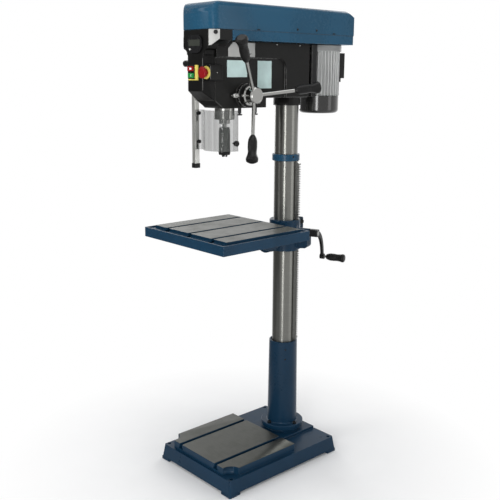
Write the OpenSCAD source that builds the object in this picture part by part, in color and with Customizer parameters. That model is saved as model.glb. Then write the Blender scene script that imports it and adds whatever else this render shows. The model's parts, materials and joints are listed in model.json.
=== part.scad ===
// Floor drill press with a rack and crank table, a swing guard and a stepped pulley head.
// Millimetres. The origin is on the floor, at the centre of the four floor bolts.
// +Z is up, the operator stands at -Y, and the operator's right hand is at +X.

/* [Base] */
// Width of the base casting at its top edge
base_w = 410; // [340:1:520]
// Depth of the base casting at its top edge
base_l = 564; // [520:1:700]
// Height of the base plate
base_h = 62.5; // [50:0.5:90]
// How far the draft carries the foot of the base outwards
base_flare = 10; // [4:1:16]
// Wall of the base casting
base_wall = 14; // [8:1:18]
// Length of each corner foot along the edge
foot_l = 52; // [40:1:80]
// Gap under the skirt between the feet
skirt_gap = 10; // [4:1:16]
// Distance from a floor bolt to the side edges
bolt_inset_x = 12.5; // [11:0.5:20]
// Distance from a floor bolt to the front and rear edges
bolt_inset_y = 17; // [12:0.5:24]
// Diameter of the floor bolt holes
bolt_d = 14; // [10:0.5:16]
// Width of the machined pad on the base
pad_w = 378; // [300:1:390]
// Gap between the machined pad and the boot's flange
pad_gap = 24.5; // [8:0.5:40]
// Height of the machined pad above the base plate
pad_h = 30.5; // [28:0.5:45]
// Distance between the two T-slots of the base
base_slot_gap = 216; // [120:1:250]

/* [T-slots] */
// Width of the slot mouth
slot_w = 14; // [10:1:18]
// Width of the slot's wide part
slot_t_w = 24; // [20:1:30]
// Height of the slot's wide part
slot_t_h = 10; // [7:0.5:11]
// Depth of the slot below the machined face
slot_depth = 23; // [19:0.5:24]

/* [Column] */
// Outer diameter of the column
column_d = 92; // [80:1:110]
// Wall of the column tube
column_wall = 6; // [4:0.5:10]
// Distance from the column axis to the rear edge of the base
column_inset = 98; // [96:1:120]
// Height of the boot's top rim above the floor
boot_top = 460; // [360:1:560]
// Diameter of the boot at its top rim
boot_top_d = 115; // [112:1:124]
// Diameter of the boot just above its flange
boot_low_d = 123; // [118:1:126]
// Diameter of the boot's flange
flange_d = 175; // [168:1:186]
// Thickness of the boot's flange
flange_t = 20; // [14:1:28]
// Height of the underside of the rack's upper collar
collar_z = 1201; // [1150:1:1260]
// Height of the rack's upper collar
collar_h = 26; // [20:1:36]
// Diameter of the rack's upper collar
collar_d = 108; // [106:1:120]

/* [Table] */
// Width of the table
table_w = 465; // [400:1:520]
// Depth of the table
table_l = 420; // [360:1:460]
// Thickness of the table at its rim
table_t = 35.5; // [33:0.5:45]
// Height of the table's rim above the floor
table_rim_z = 963.5; // [900:0.5:1000]
// Height of the machined face above the rim
table_pad_h = 6.5; // [3:0.5:10]
// Width of the gutter at the sides
gutter_side = 24; // [16:1:34]
// Width of the gutter at the front
gutter_front = 34; // [20:1:44]
// Distance between the table's three T-slots
table_slot_gap = 130; // [80:1:140]
// Distance from the column axis to the table's rear edge
table_gap = 98; // [96:1:120]
// Angle of the rack and the crank from the operator's right towards the rear
rack_angle = 22; // [0:1:40]

/* [Head] */
// Distance from the column axis to the spindle axis
throat = 317; // [300:1:340]
// Height of the underside of the head's front body
head_low_z = 1411; // [1380:1:1440]
// How far the underside of the rear body stands above the front body's
head_rear_rise = 34; // [20:1:50]
// Width of the head at its gear side
head_w = 104; // [100:1:112]
// Width of the head's upper and rear body
head_top_w = 120; // [116:1:130]
// Diameter of the head's column socket
socket_d = 105; // [102:1:112]
// Height of the belt tray, from the head casting up to the cover's seam
tray_h = 34; // [28:1:42]
// Height of the belt cover above its seam
cover_h = 93; // [86:1:110]
// Width of the belt case
case_w = 190; // [180:1:210]
// Distance from the column axis to the rear end of the belt case
case_rear = 273; // [262:1:290]
// Thickness of the belt case's sheet
sheet_t = 2.5; // [1.5:0.5:4]

/* [Spindle] */
// Diameter of the quill
quill_d = 75; // [70:0.5:80]
// How far the quill stands out below the head at rest
quill_out = 41; // [30:1:50]
// Length of the quill
quill_l = 230; // [210:1:240]
// Stroke of the quill
quill_stroke = 120; // [80:1:120]
// Height of the feed hub's axis above the underside of the head
hub_rise = 45; // [42:1:50]
// Module of the feed rack and pinion
feed_module = 2.5; // [2:0.5:2.5]
// Number of teeth of the feed pinion
feed_teeth = 16; // [14:1:18]
// Distance from the quill axis to the feed rack's pitch line
feed_pitch_y = 32; // [31:0.5:32.5]
// Diameter that the jaws hold at rest
grip_d = 10; // [8:0.5:12]
// Lean of the feed arms away from the head
arm_cone = 21.5; // [8:0.5:25]
// Angle of the first feed arm above the rearward direction
arm_phase = 127; // [100:1:150]
// Distance from the hub axis to the end of a feed grip
arm_reach = 259; // [220:1:280]

/* [Motor] */
// Distance from the column axis to the motor axis
motor_gap = 180; // [176:1:190]
// Diameter of the motor's ribbed body
motor_d = 160; // [150:1:162]
// Length of the motor's ribbed body below its flange
motor_body_l = 170; // [150:1:180]
// Height of the fan cowl
cowl_h = 69; // [60:1:80]

/* [Clearances] */
// Radial clearance of a running fit
run_c = 0.06; // [0.02:0.01:0.1]
// Gap between pieces that pass each other
gap = 0.3; // [0.2:0.05:0.6]

/* [Hidden] */
$fn = 96;

base_blue = "#1b4059";
cover_blue = "#24587a";
casting_black = "#262625";
steel = "#b9bbba";
plastic_black = "#1a1a1a";

// Heights of the head, from the underside of its front body upwards
head_rear_z = head_low_z + head_rear_rise;
quill_low_z = head_low_z - quill_out;
hub_z = head_low_z + hub_rise;
sleeve_z = quill_low_z + quill_l + 14;
sleeve_seat = 31;
head_top_z = sleeve_z + sleeve_seat;
seam_z = head_top_z + tray_h;
cover_top_z = seam_z + cover_h;
ring_z = head_top_z - 25;
motor_split_z = ring_z - motor_body_l;
motor_low_z = motor_split_z - cowl_h;

// Places along the machine, from the base outwards
col_y = base_l / 2 - column_inset;
spin_y = col_y - throat;
motor_y = col_y + motor_gap;
column_r = column_d / 2;
pad_top = base_h + pad_h;
pad_front = -base_l / 2 + 10;
pad_rear = col_y - flange_d / 2 - pad_gap;
pad_l = pad_rear - pad_front;
bolt_x = base_w / 2 - bolt_inset_x;
bolt_y = base_l / 2 - bolt_inset_y;
bolt_boss_r = bolt_d / 2 + 17;
land_h = 11;
land_top = base_h + land_h;
flange_seat = land_top + 11;
flange_top = flange_seat + flange_t;
flange_bolt_r = (flange_d + boot_low_d) / 4;
column_foot = flange_seat + 6;
tab_rear = col_y - table_gap;
tab_front = tab_rear - table_l;
tab_low = table_rim_z - table_t;
tab_top = table_rim_z + table_pad_h;

// Solid of revolution about Z from a list of [radius, height] points
module turned(points, fn = 96) {
    rotate_extrude($fn = fn) polygon(points);
}

// Rectangle with rounded corners, centred
module round_rect(w, l, r) {
    union() {
        square([w - 2 * r, l], center = true);
        square([w, l - 2 * r], center = true);
        for (x = [-1, 1], y = [-1, 1]) translate([x * (w / 2 - r), y * (l / 2 - r)]) circle(r, $fn = 32);
    }
}

// Points of an arc about a centre, from angle a to angle b
function arc(c, r, a, b, n = 8) = [for (i = [0:n]) c + r * [cos(a + (b - a) * i / n),
    sin(a + (b - a) * i / n)]];

// Extrudes a side view drawn in Y and Z through the width w
module side_extrude(w) {
    rotate([90, 0, 90]) translate([0, 0, -w / 2]) linear_extrude(w) children();
}

// Extrudes a front view drawn in X and Z from y0 to y1
module front_extrude(y0, y1) {
    translate([0, y1, 0]) rotate([90, 0, 0]) linear_extrude(y1 - y0) children();
}

// Tooth and gap profiles of an involute pinion with a thinned tooth
backlash = 0.25;
press_angle = 20;
function inv(a) = tan(a) * 180 / PI - a;
function half_tooth(m, z, r) = let(rp = m * z / 2, rb = rp * cos(press_angle))
    90 / z - backlash / 2 / rp * 180 / PI + inv(press_angle) - (r > rb ? inv(acos(rb / r)) : 0);
function polar(r, a) = [r * cos(a), r * sin(a)];
module pinion(m, z, add, ded, width) {
    rp = m * z / 2;
    rb = rp * cos(press_angle);
    radii = [rp - ded, for (i = [0:4]) rb + (rp + add - rb) * i / 4];
    linear_extrude(width, center = true)
        polygon([for (k = [0:z - 1]) each concat(
            [for (i = [0:5]) polar(radii[i], k * 360 / z - half_tooth(m, z, radii[i]))],
            [for (i = [5:-1:0]) polar(radii[i], k * 360 / z + half_tooth(m, z, radii[i]))])]);
}
// Outline of rack gaps, to be cut out: x is the depth into the rack, y runs along it
module rack_gaps(m, z0, z1, phase, add, ded) {
    pitch = PI * m;
    half = pitch / 4 + backlash / 2;
    k0 = ceil((z0 - phase) / pitch);
    k1 = floor((z1 - phase) / pitch);
    for (k = [k0:k1]) translate([0, phase + k * pitch]) polygon([
        [-add - 1, half + (add + 1) * tan(press_angle)], [ded, half - ded * tan(press_angle)],
        [ded, -half + ded * tan(press_angle)], [-add - 1, -half - (add + 1) * tan(press_angle)]]);
}

// Inverted T of a slot, seen along the slot, with its mouth at z = 0
module slot_profile() {
    union() {
        translate([-slot_w / 2, -slot_depth]) square([slot_w, slot_depth + 1]);
        translate([-slot_t_w / 2, -slot_depth]) square([slot_t_w, slot_t_h]);
    }
}

module base() {
    foot_w = base_w + 2 * base_flare;
    foot_d = base_l + 2 * base_flare;
    roof = base_h - base_wall - 4;
    bay_x = (base_w - 2 * base_wall) / 3;
    bay_y = (base_l - 2 * base_wall) / 4;
    color(base_blue) difference() {
        union() {
            difference() {
                hull() {
                    translate([0, 0, base_h - 1]) linear_extrude(1) round_rect(base_w, base_l, 8);
                    translate([0, 0, 8]) linear_extrude(1) round_rect(foot_w - 4, foot_d - 4, 10);
                }
                for (i = [-1:1], j = [-1.5:1.5])
                    translate([i * bay_x, j * bay_y, roof / 2 - 1])
                        cube([bay_x - 10, bay_y - 10, roof + 2], center = true);
            }
            difference() {
                linear_extrude(9) round_rect(foot_w, foot_d, 10);
                translate([0, 0, -1]) linear_extrude(11)
                    square([foot_w - 4 * base_wall, foot_d - 4 * base_wall], center = true);
            }
            for (x = [-1, 1], y = [-1, 1]) translate([x * bolt_x, y * bolt_y, 0]) intersection() {
                cylinder(h = base_h, r = bolt_boss_r);
                translate([-x * bolt_boss_r, -y * bolt_boss_r, base_h / 2])
                    cube([2 * bolt_boss_r + 18, 2 * bolt_boss_r + 18, base_h], center = true);
            }
            translate([0, pad_front + pad_l / 2, base_h - 1]) linear_extrude(pad_h + 1)
                round_rect(pad_w, pad_l, 3);
            translate([-98, pad_rear - 1, base_h - 1]) cube([196, base_l / 2 - pad_rear - 3, land_h + 1]);
            translate([0, col_y, base_h]) cylinder(h = flange_seat - base_h, r = flange_d / 2 - 7);
        }
        for (x = [-1, 1], y = [-1, 1]) translate([x * bolt_x, y * bolt_y, -1])
            cylinder(h = base_h + 2, d = bolt_d);
        for (x = [-1, 1]) {
            translate([x * bolt_x, -bolt_y, base_h]) cylinder(h = pad_h + 1, r = 42);
            translate([x * base_slot_gap / 2, 0, 0]) front_extrude(pad_front - 1, pad_rear + 1)
                translate([0, pad_top]) slot_profile();
            translate([x * (foot_w / 2 - 15), 0, skirt_gap / 2 - 1])
                cube([40, foot_d - 2 * foot_l, skirt_gap + 2], center = true);
        }
        for (y = [-1, 1]) translate([0, y * (foot_d / 2 - 15), skirt_gap / 2 - 1])
            cube([foot_w - 2 * foot_l, 40, skirt_gap + 2], center = true);
        translate([0, col_y, column_foot - 1]) cylinder(h = 40, r = column_r - column_wall - 6);
        for (a = [0:90:270]) translate([0, col_y, 0]) rotate([0, 0, a])
            translate([flange_bolt_r, 0, flange_seat - 16]) cylinder(h = 20, d = 10.2);
    }
}

// Space at a collar's mouth that holds the bevelled end of the rack
hook_r = column_r + 4.8;
hook_h = 8;
module column_boot() {
    low_r = boot_low_d / 2;
    color(base_blue) translate([0, col_y, 0]) difference() {
        turned([[column_r - 4, flange_seat], [flange_d / 2 - 2, flange_seat],
            [flange_d / 2, flange_seat + 2],
            [flange_d / 2, flange_top - 2], [flange_d / 2 - 2, flange_top], [low_r + 5, flange_top],
            each arc([low_r + 5, flange_top + 5], 5, 270, 180, 6), [boot_top_d / 2, boot_top - 2],
            [boot_top_d / 2 - 2, boot_top], [column_r - 4, boot_top]]);
        translate([0, 0, column_foot]) cylinder(h = boot_top, r = column_r + 0.05);
        translate([0, 0, boot_top - hook_h - 1]) cylinder(h = hook_h + 2, r = hook_r);
        for (a = [0:90:270]) rotate([0, 0, a]) translate([flange_bolt_r, 0, flange_seat - 1])
            cylinder(h = flange_t + 2, d = 10.6);
        for (a = [-35, 145], z = [18, 60]) rotate([0, 0, a])
            translate([column_r - 3, 0, boot_top - z - 12])
            rotate([0, 90, 0]) cylinder(h = 20, d = 8);
    }
}

// Hexagon socket cap screw standing on z = 0, with its shank below
module cap_screw(d, head_h, shank) {
    difference() {
        union() {
            cylinder(h = head_h, d = 1.5 * d);
            translate([0, 0, -shank]) cylinder(h = shank + 1, d = d);
        }
        translate([0, 0, head_h / 2]) cylinder(h = head_h, d = 0.9 * d, $fn = 6);
    }
}

module column_fasteners() {
    color("#1c1c1c") {
        for (a = [0:90:270]) translate([0, col_y, 0]) rotate([0, 0, a])
            translate([flange_bolt_r, 0, flange_top]) cap_screw(10, 8, flange_t + 10);
        for (a = [-35, 145], z = [18, 60]) translate([0, col_y, boot_top - z - 12]) rotate([0, 0, a])
            translate([column_r + 0.1, 0, 0]) rotate([0, 90, 0]) difference() {
                cylinder(h = 11, d = 7.9);
                translate([0, 0, 7]) cylinder(h = 6, d = 4, $fn = 6);
            }
        translate([0, col_y, collar_z + collar_h / 2 + 4]) rotate([0, 0, -12])
            translate([column_r + 0.1, 0, 0]) rotate([0, 90, 0]) difference() {
                cylinder(h = collar_d / 2 - column_r - 1, d = 7.9);
                translate([0, 0, 3]) cylinder(h = 6, d = 4, $fn = 6);
            }
    }
}

module column() {
    color(steel) translate([0, col_y, 0]) difference() {
        translate([0, 0, column_foot]) cylinder(h = head_top_z - 20 - column_foot, r = column_r);
        translate([0, 0, column_foot - 1]) cylinder(h = head_top_z, r = column_r - column_wall);
    }
}

module upper_collar() {
    color(base_blue) translate([0, col_y, collar_z]) difference() {
        turned([[column_r - 2, 0], [collar_d / 2 - 1.5, 0], [collar_d / 2, 1.5],
            [collar_d / 2, collar_h - 1.5],
            [collar_d / 2 - 1.5, collar_h], [column_r - 2, collar_h]]);
        translate([0, 0, -1]) cylinder(h = collar_h + 2, r = column_r + 0.05);
        translate([0, 0, -1]) cylinder(h = hook_h + 1.5, r = hook_r);
        translate([0, 0, collar_h / 2 + 4]) rotate([0, 0, -12]) rotate([0, 90, 0])
            cylinder(h = collar_d, d = 8);
    }
}

// Rack and lift pinion
lift_module = 3;
lift_teeth = 12;
lift_r = lift_module * lift_teeth / 2;
rack_back = column_r + gap;
rack_tip = rack_back + 14;
rack_add = 2.1;
rack_pitch_r = rack_tip - rack_add;
pinion_r = rack_pitch_r + lift_r;
crank_z = 919;
worm_r = 9;
pinion_z = crank_z - worm_r - lift_r - lift_module - 0.5;
module rack() {
    tongue = sqrt(pow(hook_r - gap, 2) - 81);
    low = boot_top - hook_h + gap;
    high = collar_z + hook_h - gap;
    color(steel) translate([0, col_y, 0]) rotate([0, 0, rack_angle]) difference() {
        translate([0, -9, low]) cube([rack_tip, 18, high - low]);
        translate([0, 0, low - 1]) cylinder(h = high, r = rack_back);
        rotate([90, 0, 0]) linear_extrude(20, center = true) {
            translate([rack_pitch_r, 0]) mirror([1, 0])
                rack_gaps(lift_module, boot_top + 14, collar_z - 14, pinion_z, rack_add, 3.6);
            polygon([[tongue, low - 1], [tongue, boot_top + 1], [rack_tip + 1, boot_top + 12],
                [rack_tip + 1, low - 1]]);
            polygon([[tongue, high + 1], [tongue, collar_z - 1], [rack_tip + 1, collar_z - 12],
                [rack_tip + 1, high + 1]]);
        }
    }
}

// Table bracket, worm drive and tilt pivot, placed about the column axis
bracket_low = 843;
bracket_top = 967;
bracket_r = column_r + 16;
tilt_z = 893;
tilt_r = 50;
face_y = -table_gap + 6;
ear_y = bracket_r + 8;
lock_z = bracket_top - 18;
house_r = pinion_r + 30;
journal_r = 10;
module about_column() {
    translate([0, col_y, 0]) children();
}
// Local X runs outwards along the crank axis, local Y across it
module along_crank(z) {
    translate([0, col_y, z]) rotate([0, 0, rack_angle]) children();
}

module table_bracket() {
    color(base_blue) difference() {
        union() {
            about_column() {
                turned([[20, bracket_low], [bracket_r - 3, bracket_low], [bracket_r, bracket_low + 3],
                    [bracket_r, bracket_top - 3], [bracket_r - 3, bracket_top], [20, bracket_top]]);
                translate([0, 0, tilt_z]) rotate([90, 0, 0]) cylinder(h = -face_y, r = 40);
                translate([0, face_y + 16, tilt_z]) rotate([90, 0, 0]) cylinder(h = 16, r = tilt_r);
                translate([0, ear_y, bracket_top - 32]) rotate([0, 90, 0])
                    linear_extrude(34, center = true)
                    round_rect(64, 36, 8);
            }
            along_crank(0) {
                rotate([90, 0, 0]) linear_extrude(44, center = true) polygon([
                    [30, bracket_low + 8], [house_r - 16, bracket_low + 14],
                    each arc([house_r - 14, bracket_low + 28], 14, 285, 360, 6),
                    each arc([house_r - 6, crank_z + 6], 6, 0, 90, 4), [30, crank_z + 12]]);
                translate([20, 0, crank_z]) rotate([0, 90, 0]) cylinder(h = house_r - 18, r = 16);
            }
        }
        about_column() {
            translate([0, 0, bracket_low - 1]) cylinder(h = 200, r = column_r + 0.1);
            translate([-1.5, 30, bracket_low - 1]) cube([3, 100, 200]);
            translate([0, ear_y + 4, lock_z]) rotate([0, 90, 0]) cylinder(h = 60, r = 6.1, center = true);
            translate([0, face_y + 30, tilt_z]) rotate([90, 0, 0]) cylinder(h = 40, r = 10.05);
        }
        along_crank(0) {
            translate([30, -9 - gap, bracket_low - 1]) cube([rack_tip + gap - 30, 18 + 2 * gap, 200]);
            translate([pinion_r, 0, pinion_z]) rotate([90, 0, 0]) {
                cylinder(h = 16 + 4 * gap, r = lift_r + lift_module + 0.4, center = true);
                cylinder(h = 60, r = 8 + run_c, center = true);
            }
            translate([rack_tip + 2, 0, crank_z]) rotate([0, 90, 0])
                cylinder(h = 60, r = journal_r + run_c);
        }
    }
}

module tilt_bolt() {
    color(steel) about_column() translate([0, 0, tilt_z]) rotate([90, 0, 0]) {
        translate([0, 0, -face_y - 28]) cylinder(h = 66, r = 10);
        translate([0, 0, -face_y + 20 + 2 * gap]) cylinder(h = 3, r = 18);
        translate([0, 0, -face_y + 23 + 2 * gap]) cylinder(h = 12, r = 17, $fn = 6);
    }
}

module column_lock_lever() {
    color(casting_black) about_column() translate([0, ear_y + 4, lock_z]) {
        translate([-34, 0, 0]) rotate([0, 90, 0]) cylinder(h = 52, r = 6);
        translate([17 + gap, 0, 0]) rotate([0, 90, 0]) cylinder(h = 9, r = 9, $fn = 6);
        translate([-36, 0, 0]) rotate([0, 90, 0]) cylinder(h = 19 - gap, r = 10);
        translate([-28, 0, 0]) rotate([0, -160, 0]) {
            cylinder(h = 78, r = 4.5);
            translate([0, 0, 84]) sphere(10, $fn = 32);
        }
    }
}

module lift_pinion() {
    color(steel) along_crank(pinion_z) translate([pinion_r, 0, 0]) rotate([90, 0, 0]) {
        pinion(lift_module, lift_teeth, lift_module, 2.7, 16);
        cylinder(h = 44, r = 8, center = true);
    }
}

// Crank: the arm's boss lies at arm_across and arm_drop from the shaft
arm_across = 77;
arm_drop = 109;
arm_out = house_r + 30;
grip_len = 76;
module crank_shaft() {
    color(steel) along_crank(crank_z) {
        rotate([0, 90, 0]) turned([[0, rack_tip + 3], [worm_r - 3, rack_tip + 3],
            each [for (i = [0:3]) each [[worm_r - 3, rack_tip + 6 + 7 * i],
                [worm_r, rack_tip + 7.5 + 7 * i],
                [worm_r, rack_tip + 9.5 + 7 * i], [worm_r - 3, rack_tip + 11 + 7 * i]]],
            [journal_r, rack_tip + 34], [journal_r, arm_out + 8], [0, arm_out + 8]]);
        translate([arm_out - 10, arm_across, -arm_drop]) rotate([0, 90, 0])
            cylinder(h = grip_len + 24, r = 5);
    }
}

module crank_arm() {
    color(plastic_black) along_crank(crank_z) difference() {
        union() {
            translate([house_r + 5, 0, 0]) rotate([90, 0, 90]) linear_extrude(32) round_rect(28, 28, 5);
            translate([arm_out - 8, 0, 0]) rotate([90, 0, 90]) linear_extrude(11) polygon(concat(
                [[0, 9]], [for (a = [90:-10:0]) [9 + (arm_across - 2) * cos(a),
                    -arm_drop + (arm_drop + 7) * sin(a)]],
                [for (a = [0:10:90]) [(arm_across - 8) * cos(a), -arm_drop + (arm_drop - 9) * sin(a)]]));
            translate([arm_out - 10, arm_across, -arm_drop]) rotate([0, 90, 0]) cylinder(h = 17, r = 11);
        }
        translate([house_r, 0, 0]) rotate([0, 90, 0]) cylinder(h = arm_out + 8 - house_r, r = journal_r);
        translate([arm_out - 11, arm_across, -arm_drop]) rotate([0, 90, 0]) cylinder(h = 20, r = 5);
    }
}

module crank_grip() {
    start = arm_out + 18;
    color(plastic_black) along_crank(crank_z) translate([start, arm_across, -arm_drop]) rotate([0, 90, 0])
        turned([[5 + run_c, 0], [10, 0], [13, 8], [15, 18], [14.6, 32], [13.6, 46], [14.8, 58],
            [16.6, 66],
            each arc([10, grip_len - 6.6], 6.6, 0, 90, 5), [0, grip_len], [0, grip_len - 3],
                [5 + run_c, grip_len - 3]]);
}

module table() {
    mid_y = (tab_front + tab_rear) / 2;
    pad_y0 = tab_front + gutter_front;
    pad_y1 = tab_rear - gutter_side;
    pad_w = table_w - 2 * gutter_side;
    rim = 7;
    bay = (table_w - 2 * 12) / 4;
    color(base_blue) difference() {
        union() {
            difference() {
                translate([0, mid_y, tab_low]) linear_extrude(table_t) round_rect(table_w, table_l, 4);
                translate([0, mid_y, table_rim_z - 4]) linear_extrude(10)
                    round_rect(table_w - 2 * rim, table_l - 2 * rim, 6);
            }
            translate([-pad_w / 2, pad_y0, table_rim_z - 5])
                cube([pad_w, pad_y1 - pad_y0, table_pad_h + 5]);
        }
        for (i = [-1:1]) translate([i * table_slot_gap, 0, 0]) front_extrude(pad_y0 - 1, pad_y1 + 1)
            translate([0, tab_top]) slot_profile();
        for (i = [-1:1]) translate([i * table_slot_gap - slot_t_w / 2, tab_front + rim,
            tab_top - slot_depth])
            cube([slot_t_w, gutter_front - rim + 1, slot_depth]);
        for (i = [-1.5:1.5], j = [-1, 1]) translate([i * bay, mid_y + j * (table_l / 4 + 28), tab_low])
            linear_extrude(14, center = true) round_rect(bay - 12, table_l / 2 - 80, 8);
    }
}

module table_arm() {
    pad_y = -table_gap - table_l / 2;
    front_y = face_y - gap;
    color(base_blue) about_column() difference() {
        union() {
            translate([0, front_y, tilt_z]) rotate([90, 0, 0]) cylinder(h = 20, r = tilt_r);
            translate([0, pad_y, tab_low - 14]) cylinder(h = 14, r = 70);
            translate([-46, pad_y, tab_low - 14]) cube([92, front_y - pad_y - 4, 14]);
            for (x = [-42, 42]) translate([x, 0, 0]) side_extrude(9) polygon([[front_y - 6, tab_low - 8],
                [front_y - 6, tilt_z - 36], [front_y - 30, tilt_z - 34], [pad_y, tab_low - 20],
                    [pad_y, tab_low - 8]]);
        }
        translate([-100, -table_gap + gap - 500, tab_low]) cube([200, 500, 60]);
        translate([0, front_y + 1, tilt_z]) rotate([90, 0, 0]) cylinder(h = 40, r = 10 + run_c);
    }
}

// Places of the guard, the belt drive and the hinge
guard_y = spin_y - 62;
guard_z = head_top_z - 78;
guard_stud_r = 6;
post_x = -90;
post_w = 20;
post_face = post_x + post_w / 2;
post_low = head_low_z - 215;
shield_r = 77;
shield_t = 3;
shield_low = head_low_z - 151;
shield_top = head_low_z - 7;
shield_start = 216;
shield_slide = 25;
knob_z = [shield_top - 12, shield_low + 29];
idler_y = col_y - 64;
motor_slide = 10;
hinge_x = -case_w / 2 - 4.5;
knuckle_l = 15;
step_h = 18;
pulley_z = head_top_z + 18;
spindle_steps = [68, 58, 48, 38];
idler_steps = [40, 50, 60, 70];
motor_steps = [66, 56, 46, 36];
belt_levels = [2, 1];
sleeve_r = 17;
spline_r = 12;
spline_hold = 28;

// Head casting and its front moulding
head_front = spin_y - 85;
head_rear = col_y + 61;
head_step = col_y - 64;
feed_r = feed_module * feed_teeth / 2;
feed_y = spin_y + feed_pitch_y + feed_r;
face_low_y = head_front - 50;
face_low_z = head_low_z + 61;
face_top_y = face_low_y + 7;
case_front = face_top_y;
case_end = col_y + case_rear;
tray_front = case_front + 86;
hinge_y = [tray_front + 90, case_end - 130];
deck_z = head_top_z - 57;
quill_r = quill_d / 2;
journal_big_r = 23;
feed_shaft_r = 15;
lock_screw_y = [feed_y - 18, feed_y + 58];
module head_casting() {
    color(casting_black) difference() {
        union() {
            side_extrude(head_w) polygon([[head_front, deck_z + 1], [head_front, face_low_z - 35.6],
                [head_front + 28, head_low_z + 6], [head_front + 34, head_low_z],
                    [head_step - 93, head_low_z],
                [head_step - 93, head_rear_z], [head_step + 1, head_rear_z],
                    [head_step + 1, deck_z + 1]]);
            side_extrude(head_top_w) polygon([[head_front, deck_z],
                each arc([head_step - 35, deck_z - 35], 35, 90, 0, 8),
                [head_step, head_rear_z], [head_rear - 6, head_rear_z], [head_rear, head_rear_z + 6],
                [head_rear, head_top_z], [head_front, head_top_z]]);
            about_column() translate([0, 0, head_rear_z - 30]) cylinder(h = 32, d = socket_d);
            translate([head_w / 2 - 1, feed_y, hub_z]) rotate([0, 90, 0]) cylinder(h = 3, r = 43);
            translate([-head_w / 2 - 6, guard_y, guard_z]) rotate([90, 0, 90]) linear_extrude(8)
                round_rect(46, 40, 8);
            translate([post_face + gap, guard_y, guard_z]) rotate([0, 90, 0])
                cylinder(h = -head_w / 2 - 5 - post_face - gap, r = 16);
        }
        about_column() translate([0, 0, head_rear_z - 31])
            cylinder(h = head_top_z - 19 - head_rear_z + 31,
            r = column_r + 0.05);
        translate([0, spin_y, head_low_z - 1])
            cylinder(h = quill_low_z + quill_l + 8 - head_low_z, r = quill_r + run_c);
        translate([0, spin_y, head_low_z]) cylinder(h = 300, r = 31);
        translate([0, feed_y, hub_z]) rotate([0, 90, 0]) {
            translate([0, 0, -60]) cylinder(h = 120, r = feed_shaft_r + run_c);
            translate([0, 0, -12]) cylinder(h = 80, r = journal_big_r + run_c);
        }
        for (y = lock_screw_y) translate([45, y, head_low_z - 1]) cylinder(h = 17, r = 4);
        for (x = [-40, 40], z = rod_z) translate([x, head_rear + 1, z]) rotate([90, 0, 0])
            cylinder(h = 37, r = 9);
        translate([-head_w / 2 + 9, feed_y + 42, head_low_z + 20])
            cube([head_w - 18, idler_y - 32 - feed_y - 42, 400]);
        translate([-head_w / 2 - 30, guard_y, guard_z]) rotate([0, 90, 0])
            cylinder(h = 42, r = guard_stud_r + run_c);
    }
}

// Outlines of the front moulding, drawn smaller by the inset t
panel_wide = case_w / 2 - 26;
panel_slim = 42;
module panel_outline(t) {
    half = [[panel_wide - t, seam_z - t], [panel_wide - t, seam_z - 54],
        each arc([panel_wide - t + 1, deck_z - 2 + 1], 28, 100, 180, 6),
            [panel_slim - 3.3 - t, face_low_z],
        [panel_slim - 6.5 - t, head_low_z]];
    polygon(concat(half, [for (i = [len(half) - 1:-1:0]) [-half[i].x, half[i].y]]));
}
module face_profile(t, rear) {
    polygon([[face_top_y + t, seam_z - t], [face_top_y - 3 + t, seam_z - 54],
        [face_low_y + t, face_low_z + t / 2],
        [rear, face_low_z - 35.6 * (rear - face_low_y) / 50 + t], [rear, seam_z - t]]);
}
module case_plan(t, y0, y1) {
    polygon([[-panel_wide, y0 + t], [panel_wide, y0 + t], [case_w / 2 - t, y0 + 30],
        [case_w / 2 - t, y1 - t],
        [-case_w / 2 + t, y1 - t], [-case_w / 2 + t, y0 + 30]]);
}
module cove_profile(t) {
    half = [[case_w / 2 - t, seam_z - t], each arc([case_w / 2 + 7, deck_z + 6], 50 + t, 98, 180, 8),
        [45, deck_z + 6]];
    polygon(concat(half, [for (i = [len(half) - 1:-1:0]) [-half[i].x, half[i].y]]));
}
function flank(top, low) = [[top, 0], [low, head_low_z - deck_z - 6], [-low, head_low_z - deck_z - 6],
    [-top, 0]];
module moulding(t) {
    intersection() {
        union() {
            front_extrude(face_low_y - 1, head_front) panel_outline(t);
            translate([0, 0, deck_z + 6 - t]) hull() {
                front_extrude(face_low_y - 1, face_low_y)
                    polygon(flank(panel_slim - t, panel_slim - 6.5 - t));
                front_extrude(head_front - 1, head_front) polygon(flank(head_w / 2 - t, head_w / 2 - t));
            }
        }
        side_extrude(case_w) face_profile(t, head_front + 1);
    }
    intersection() {
        front_extrude(case_front - 1, tray_front) cove_profile(t);
        translate([0, 0, head_low_z]) linear_extrude(400) case_plan(t, case_front, tray_front + 1 + t);
    }
}
readout_z = seam_z - 48;
readout_back = face_top_y - 1;
switch_x = -7.6;
controls_z = head_low_z + 124;
switch_z = controls_z - 0.5;
switch_back = face_low_y + 2.4;
button_x = -16;
button_w = 32;
button_h = 16;
stop_z = controls_z + 13;
start_z = controls_z - 10;
estop_x = 58;
estop_z = controls_z;
estop_face = face_low_y + 6;
module readout_outline(t) {
    round_rect(80 - 2 * t, 61 - 2 * t, 26);
}
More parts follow.
